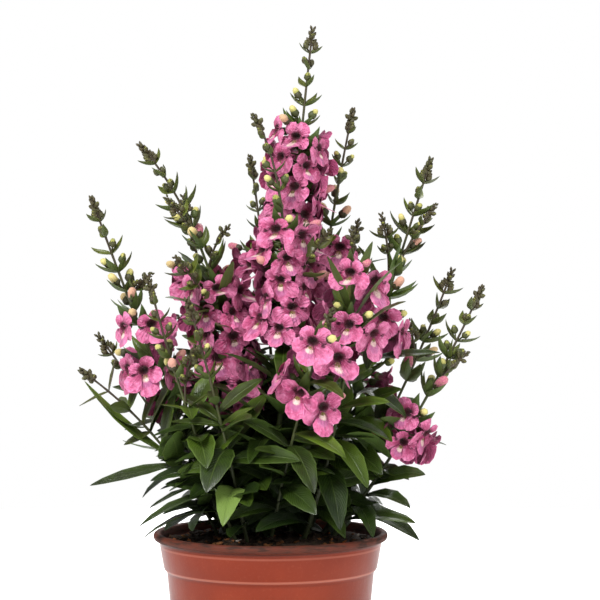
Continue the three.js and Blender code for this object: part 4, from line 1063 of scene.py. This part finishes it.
bloom = {
    # each lobe: direction and distance of its middle, half its width and length, and how far forward it lies
    "lobes": ((-90, 8.3, 5.4, 4.2, -0.2), (-30, 7.6, 4.8, 4.4, 0.9), (48, 6.2, 4.4, 3.6, -1.0),
              (132, 6.2, 4.4, 3.6, -1.7), (210, 7.6, 4.8, 4.4, 0.7)),
    "corners": 8, "round": 146, "mouth": (0.8, 2.7, 2.0), "notch": 0.7, "mouthDepth": -0.7, "thick": 0.22,
    "shares": (0.7, 0.32, 0.0), "backShare": 0.6, "curl": 0.9, "hump": 0.7, "nod": 3.2, "uneven": 0.16,
    "grown": (0.8, 0.18), "hood": (5.6, 0.3), "yaw": 56, "pitch": 36, "sway": 9, "ragged": 0.05,
    "lipFold": (8, 72), "foldAt": -2.2, "palate": (0.7, 1.8, -3.2, 1.1), "back": -5.4, "inside": (-3.8, 0.6),
    # half width and height, rise and depth of the ends of the tube: its back, its neck and the throat
    "throat": ((1.3, 1.3, 0.0, -5.0), (2.3, 2.0, 0.2, -3.0), (2.0, 1.5, 0.7, -2.8)),
}


def bloomCorners():
    # Each corner's lobe, place round it, direction at the mouth, and 1 on a lobe or 0 in a notch
    lobes, count = bloom["lobes"], bloom["corners"]
    corners = []
    for k, lobe in enumerate(lobes):
        after, before = lobes[(k + 1) % len(lobes)][0], lobes[k - 1][0]
        low = lobe[0] - ((lobe[0] - before) % 360) / 2
        high = lobe[0] + ((after - lobe[0]) % 360) / 2
        for i in range(count):
            place = bloom["round"] * (2 * i / (count - 1) - 1)
            corners.append((k, place, low + (high - low) * (i + 1) / (count + 1), 1))
        corners.append((k, 0, high, 0))
    return np.array(corners).T


def makeFlowers(name, flowers, nodes):
    # Each flower is a skin of rings round its middle: up the back of the tube, out to the rim of its lobes,
    # and in over the front to the mouth and the end of the throat. A lobe's rim is an ellipse round its
    # middle, left open towards the mouth. Neighbouring lobes lap over at different depths.
    heart, facing, rise, across = (column(flowers, key) for key in ("heart", "facing", "rise", "across"))
    seed = column(flowers, "seed")
    size = column(flowers, "size") * sizeAt(bloom["grown"], chance(seed, 61))
    lobe, swing, angle, isLobe = bloomCorners()
    lobe, swing, turn = lobe.astype(int), np.radians(swing), np.radians(angle)

    def drawn(number):  # draws from 0 to 1 for each flower, by numbers below 60
        return chance(seed[:, None] * 1.3 + 3, np.atleast_1d(number))

    yaw, pitch = bloom["yaw"] * (drawn(50) - 0.5), bloom["pitch"] * (drawn(51) - 0.5)
    facing, across = turned(yaw, facing, across), turned(yaw, across, -facing)
    facing, rise = turned(pitch, facing, rise), turned(pitch, rise, -facing)
    direction, distance, halfWidth, halfLength, forward = np.array(bloom["lobes"])[lobe].T
    y0, rx, ry = bloom["mouth"]
    mouthX, mouthY = rx * np.cos(turn), y0 + ry * np.sin(turn)
    sway = np.radians(direction + bloom["sway"] * (drawn(20 + lobe) - 0.5))
    uneven = 1 + bloom["uneven"] * 2 * (drawn(lobe) - 0.5)
    ragged = uneven * (1 + bloom["ragged"] * (drawn(10 + np.arange(len(turn)) % 45) - 0.5))
    out = distance * uneven + halfLength * ragged * np.cos(swing)
    wide = halfWidth * ragged * np.sin(swing)
    rimX = np.where(isLobe, out * np.cos(sway) - wide * np.sin(sway), mouthX * (1 + bloom["notch"] / rx))
    rimY = np.where(isLobe, out * np.sin(sway) + wide * np.cos(sway), mouthY * (1 + bloom["notch"] / ry))
    hood = drawn(57) ** 2 * ((lobe == 2) | (lobe == 3)) * isLobe  # how far the upper lobes lean over
    over, shorter = bloom["hood"]
    rimY = rimY * (1 - shorter * hood)
    nod = forward + isLobe * bloom["nod"] * (drawn(5 + lobe) - 0.5) + over * hood
    low, high = bloom["lipFold"]
    fold = np.radians(low + (high - low) * drawn(55) ** 1.5) * (lobe == 0) * isLobe

    def ring(share, drop=0.0):  # x, y and forward at a share of the way from the mouth to the rim
        x, y = mouthX + (rimX - mouthX) * share, mouthY + (rimY - mouthY) * share
        tall, broad, middle, deep = bloom["palate"]
        palate = tall * np.exp(-(x / broad) ** 2 - ((y - middle) / deep) ** 2)
        bow = bloom["hump"] * np.sin(np.pi * share) * np.cos(swing) * isLobe
        z = bloom["mouthDepth"] * (1 - share) + nod * share ** 1.4 + bow + palate - drop
        z = z - bloom["curl"] * np.sin(swing) ** 2 * share - 0.5 * share ** 3 * isLobe
        below = np.minimum(y - bloom["foldAt"], 0)  # the part of the lower lip past its fold
        folded = np.where(fold > 0, y - below + below * np.cos(fold), y)
        return np.stack([x, folded, z - below * np.sin(fold)], axis=-1)

    def tube(rx, ry, y, z):
        return triple(rx * np.cos(turn) + 0 * rimX, ry * np.sin(turn) + y, z)

    end, neck, throat = bloom["throat"]
    rings = [tube(*end), tube(*neck), ring(bloom["backShare"], bloom["thick"]), ring(1.0)]
    local = np.stack(rings + [ring(share) for share in bloom["shares"]] + [tube(*throat)], axis=1)
    shares = np.array([0, 0.1, bloom["backShare"], 1, *bloom["shares"], 0])[:, None]
    layers = np.array([-1, -1, -1, 0, 1, 1, 1, 1])[:, None]  # the back, the rim and the face
    scaled = (local * size[:, None, None, None])[..., None]
    points = heart[:, None, None] + sum(
        scaled[..., k, :] * axis[:, None, None] for k, axis in enumerate((across, rise, facing)))
    skin = Skin()
    deep, high = bloom["inside"]
    skin.add(points, heart + bloom["back"] * facing, heart + deep * facing + high * rise, 0,
             triple(local[..., 0], local[..., 1], layers), triple(drawn(56)[..., None], lobe == 0, shares))
    finishPiece(name, skin.mesh(name), [petals], nodes)


runs = sorted(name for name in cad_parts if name.startswith("flowers_"))
for name in runs:
    flowers = [flower for plan in plans for flower in plan.flowers if flower["node"] == name]
    makeFlowers("blooms_" + name.removeprefix("flowers_"), flowers, [name])
for plan in plans:
    if plan.more:
        makeFlowers("more_blooms_" + plan.shoot.name, plan.more, [])
print("flower crowds made:", len(runs))

# Compost

compost = {
    "top": 54.65, "foot": (43.45, 5.05), "wallTop": (51.55, 80.1), "crown": 98.4, "edge": 94.6, "relief": 0.9,
    "mouth": 55.3, "corners": 96, "rings": 36, "lumps": 0.35, "smoothEdge": 5,
    # loose pieces: how many, their smallest and largest size, how flat they are, and the first of their draws
    "crumbs": (520, (0.5, 1.5), 0.8, 100), "chips": (120, (1.2, 3.2), 0.35, 5000),
    "sides": 7, "rows": (-55, -15, 25, 60), "spread": 0.97, "sunk": 0.25, "cap": 0.85, "lean": 0.9,
    "longer": 0.7,
}


def compostHeight(x, y):  # a low dome with lumps that fade to its edge
    r = np.hypot(x, y) / compost["mouth"]
    lumps = np.sin(0.31 * x + 1.1) * np.cos(0.27 * y - 0.4) + 0.6 * np.sin(0.53 * x - 0.61 * y)
    return (compost["crown"] + (compost["edge"] - compost["crown"]) * r * r
            + compost["relief"] * lumps * (1 - 0.7 * r ** 4))


def lumpiness(x, y):  # small lumps: sines of many directions and lengths
    total = 0
    for k in range(9):
        angle, wave = 2.4 * k, 0.9 * 1.25 ** k
        total = total + np.sin(wave * (x * np.cos(angle) + y * np.sin(angle)) + 5 * k) / (1 + 0.5 * k)
    return compost["lumps"] * total


compostLook = {"dark": paint(30, 22, 17), "brown": paint(68, 49, 36), "tan": paint(122, 78, 44),
               "orange": paint(150, 84, 42), "grey": paint(160, 150, 140), "moss": paint(52, 56, 26)}


def compostFinish():  # dark and brown grains with some moss, and bark of a few colours in the loose pieces
    f = Finish("compost", compostLook, Specular_IOR_Level=0.25)
    [loose], [seed] = f.field("organ", "X"), f.field("tone", "X")
    grain, coarse = f.noise(1600, 4, 0.65), f.noise(300, 3)
    colour = f.coats("dark", (grain.ramp(0.35, 0.7), "brown"), (coarse.ramp(0.55, 0.8) * 0.5, "moss"),
                     (loose * seed.ramp(0.7, 0.95), "tan"), (loose * seed.ramp(0.95, 0.98), "orange"),
                     (loose * seed.ramp(0.985, 0.99), "grey"))
    return f.wear(Base_Color=colour, Roughness=0.75 + 0.2 * grain, Normal=f.bump(grain, 0.0008))


def addPieces(skin, count, sizes, flat, first):
    # Lumps of bark and peat: a ball of rings squashed flat, uneven in each corner, lying on the compost
    k = np.arange(count) + first
    far, bearing, large, tilt, long, spin = (chance(k, j)[:, None, None] for j in range(6))
    r, angle = compost["top"] * compost["spread"] * np.sqrt(far), 2 * np.pi * bearing
    x, y = r * np.cos(angle), r * np.sin(angle)
    size = sizes[0] + (sizes[1] - sizes[0]) * large ** 2
    rows, corner = np.radians(compost["rows"])[:, None], np.arange(compost["sides"])
    each = corner + 10 * np.arange(len(rows))[:, None]
    uneven = chance(np.arange(count)[:, None, None] * 1.7 + first, each)
    around = 2 * np.pi * corner / len(corner)
    size, ball = size[..., 0], size * (0.75 + 0.5 * uneven)
    lx = ball * np.cos(rows) * np.cos(around) * (1 + compost["longer"] * long)
    ly = ball * np.cos(rows) * np.sin(around)
    lz = ball * flat * np.sin(rows)
    spin = 2 * np.pi * spin
    wx, wy = lx * np.cos(spin) - ly * np.sin(spin), lx * np.sin(spin) + ly * np.cos(spin)
    x, y = x[..., 0], y[..., 0]
    base = triple(x, y, compostHeight(x, y) + lumpiness(x, y) + compost["sunk"] * flat * size)
    rings = base[:, None] + triple(wx, wy, lz + compost["lean"] * (tilt - 0.5) * wx)
    reach = triple(0, 0, flat * size * compost["cap"])
    tone = triple(chance(k, 9)[:, None], 0, size)[:, None]
    skin.add(rings, (base - reach)[:, 0], (base + reach)[:, 0], 0, (1, 0, 0), tone)


def makeCompost():
    skin = Skin()
    radii = compost["top"] * (1 - np.arange(compost["rings"]) / compost["rings"])
    rings = lathe([compost["foot"], compost["wallTop"], *((r, 0) for r in radii)], compost["corners"])
    x, y = rings[0, 2:, :, 0], rings[0, 2:, :, 1]
    inside = fade(0, compost["smoothEdge"], compost["top"] - radii)[:, None]
    rings[0, 2:, :, 2] = compostHeight(x, y) + lumpiness(x, y) * inside
    skin.add(rings, [[0, 0, compost["foot"][1]]], [[0, 0, compostHeight(0, 0)]])
    addPieces(skin, *compost["crumbs"])
    addPieces(skin, *compost["chips"])
    finishPiece("compost", skin.mesh("compost"), [compostFinish()], ["soil"])


makeCompost()
print("compost made")

# Pot

pot = {
    # radius and height down the outside from the middle of the foot, over the lip and down the inside
    "profile": ((19, 0), (20.4, 0.5), (21.6, 2.4), (23.2, 2.7), (36, 2.7), (37.4, 2.2), (38.6, 0.4),
                (39.6, 0), (43.6, 0), (44.6, 0.3), (45, 1.4), (53.0, 79.0), (53.15, 80.0), (53.7, 80.8),
                (54.35, 81.3), (54.7, 82.0), (56.75, 93.2), (56.8, 94.0), (56.6, 95.2), (57.2, 95.8),
                (58.8, 96.2), (59.6, 96.7), (60, 97.6), (60, 98.4), (59.7, 99.4), (58.9, 100), (57.4, 100),
                (56.6, 99.7), (56.2, 99.0), (55.5, 96.0), (55.3, 94.5), (53.3, 82.6), (52.9, 81.4),
                (52.1, 80.2), (51.9, 79.0), (44.1, 5.6), (43.4, 4.7)),
    "floor": 4.6, "corners": 128, "drains": 4, "drainRadius": 4, "drainCircle": 28, "drainSides": 24,
    "drill": (-4.0, 9.0),
}
# light is the colour of painted highlights, and soil and deep also serve for painted shadow and shade
potLook = {"clay": paint(126, 45, 21), "deep": paint(109, 35, 15), "pale": paint(156, 78, 54),
           "dust": paint(62, 40, 32), "soil": paint(44, 28, 22), "light": paint(176, 104, 84)}


def potFinish():
    # Clay-coloured plastic, dusty on the lip and specked with soil above, with bands of other tones that
    # follow the collar and the step at their heights in millimetres: a painted shadow under the lip, painted
    # highlights along the top of the collar and the step, and painted shade just below the step
    f = Finish("nursery pot plastic", potLook, Specular_IOR_Level=0.15, Coat_Roughness=0.2)
    z = f.axis(f.place(), "Z") * 1000
    cloud, fine, specks = f.noise(45, 3), f.noise(900, 3), f.noise(2600)
    smear = f.noise(120, 4, 0.6, f.add("Mapping", {}, {"Vector": f.place(), "Scale": (1, 1, 5)}))
    lip = z.ramp(95.6, 96.6)
    dusty = lip * (0.75 + 0.25 * smear.ramp(0.35, 0.65))

    def band(rise, full, fall, end):
        return z.ramp(rise, full) * (1 - z.ramp(fall, end))

    colour = f.coats(
        "clay", (cloud.ramp(0.3, 0.7) * 0.5, "deep"), (fine.ramp(0.55, 0.75) * 0.15, "pale"),
        (dusty * 0.9, "dust"), (lip * smear.ramp(0.5, 0.68) * 0.8, "soil"),
        # Painted shadow under the lip, in the soil colour, and a painted highlight along the top of the
        # collar
        (band(94.6, 95.4, 95.6, 96.2) * 0.7, "soil"), (band(92.4, 92.9, 93.4, 94.0) * 0.35, "light"),
        # A painted highlight along the step, and painted shade just below it
        (band(80.5, 81.1, 81.7, 82.3) * 0.7, "light"), (band(78.6, 79.3, 79.8, 80.4) * 0.45, "deep"),
        (specks.ramp(0.68, 0.75) * z.ramp(60, 96) * 0.5, "soil"))
    dull = 0.26 + cloud * 0.12 + dusty * 0.35
    relief = f.bump(cloud + fine * 0.12 + smear * lip * 0.5, 0.0004)
    return f.wear(Base_Color=colour, Roughness=dull, Coat_Weight=0.14 - 0.14 * dusty, Normal=relief)


def makePot():
    # The wall's profile turned round the axis, and four drain holes cut in the floor
    skin, cutters = Skin(), Skin()
    skin.add(lathe(pot["profile"], pot["corners"]), [[0, 0, 0]], [[0, 0, pot["floor"]]])
    angle = 2 * np.pi * (np.arange(pot["drains"]) + 0.5) / pot["drains"]
    centre = triple(np.cos(angle), np.sin(angle), 0) * pot["drainCircle"]
    ends = centre[:, None] + np.array(pot["drill"])[:, None] * up
    ring = lathe([(pot["drainRadius"], 0)], pot["drainSides"])[0, 0]
    cutters.add(ends[:, :, None] + ring, ends[:, 0], ends[:, 1])
    whole = bpy.data.objects.new("pot whole", skin.mesh("pot whole"))
    cutter = bpy.data.objects.new("drains", cutters.mesh("drains"))
    for thing in (whole, cutter):
        bpy.context.scene.collection.objects.link(thing)
    cut = whole.modifiers.new("drain holes", "BOOLEAN")
    cut.operation, cut.object, cut.solver = "DIFFERENCE", cutter, "EXACT"
    mesh = bpy.data.meshes.new_from_object(whole.evaluated_get(bpy.context.evaluated_depsgraph_get()))
    for thing in (whole, cutter):
        bpy.data.objects.remove(thing)
    mesh.name = "pot"
    finishPiece("nursery_pot", mesh, [potFinish()], ["pot"])


makePot()
print("pot made")

# Studio

studio = {
    "cameraAt": (15.06, -930, 218.7), "lens": 108.6, "sensor": 36, "clip": (0.01, 50), "backdrop": 1.0,
    "surround": 0.32,
    "lights": {
        "key light": {"at": (-800, -1200, 1500), "size": 800, "power": 48, "aim": (0, 0, 180)},
        "fill light": {"at": (1100, -1000, 600), "size": 1100, "power": 12, "aim": (0, 0, 180)},
        "back light": {"at": (300, 1200, 1300), "size": 900, "power": 16, "aim": (0, 0, 200)},
    },
    "floorRings": ((1000, -4.2), (1000, -0.2), (600, -0.2), (250, -0.2)), "floorSides": 64,
    "floor": (0.9, 0.9, 0.9, 1), "glow": (0.25, 0.9), "near": (0.12, 0.12, 0.12, 1), "far": (1, 1, 1, 1),
}


def stand(name, data, at, turn):
    thing = bpy.data.objects.new(name, data)
    thing.location, thing.rotation_euler = Vector(at) * mm, turn
    bpy.context.scene.collection.objects.link(thing)
    return thing


def makeFloor():
    # A wide disc, pale under the pot, that glows faintly there and as bright as the backdrop farther out
    rings = studio["floorRings"]
    skin = Skin()
    skin.add(lathe(rings, studio["floorSides"]), [[0, 0, rings[0][1]]], [[0, 0, rings[-1][1]]])
    f = Finish("studio floor", studio, Specular_IOR_Level=0.1, Roughness=0.9, Emission_Strength=1.0)
    out = f.add("VectorMath", {"operation": "LENGTH"}, {0: f.place()}, "Value")
    glow = f.coats("near", (out.ramp(*studio["glow"]), "far"))
    mesh = skin.mesh("studio floor")
    mesh.materials.append(f.wear(Base_Color=studio["floor"], Emission_Color=glow))
    stand("studio_floor", mesh, (0, 0, 0), (0, 0, 0))


def addLight(name, facts):
    light = bpy.data.lights.new(name, "AREA")
    light.size, light.energy = facts["size"] * mm, facts["power"]
    aim = (Vector(facts["aim"]) - Vector(facts["at"])).to_track_quat("-Z", "Y").to_euler()
    stand(name, light, facts["at"], aim)


def makeStudio():
    makeFloor()
    for name, facts in studio["lights"].items():
        addLight(name, facts)
    world = bpy.data.worlds.new("studio")
    world.use_nodes = True
    nodes, links = world.node_tree.nodes, world.node_tree.links
    background = nodes["Background"]
    background.inputs["Color"].default_value = (1, 1, 1, 1)
    path, strength = nodes.new("ShaderNodeLightPath"), nodes.new("ShaderNodeMapRange")
    strength.inputs["To Min"].default_value = studio["surround"]
    strength.inputs["To Max"].default_value = studio["backdrop"]
    links.new(path.outputs["Is Camera Ray"], strength.inputs["Value"])
    links.new(strength.outputs[0], background.inputs["Strength"])
    bpy.context.scene.world = world
    bpy.context.scene.view_settings.view_transform = "Standard"
    camera = bpy.data.cameras.new("camera")
    camera.lens, camera.sensor_width = studio["lens"], studio["sensor"]
    camera.clip_start, camera.clip_end = studio["clip"]
    bpy.context.scene.camera = stand("camera", camera, studio["cameraAt"], (math.pi / 2, 0, 0))


makeStudio()
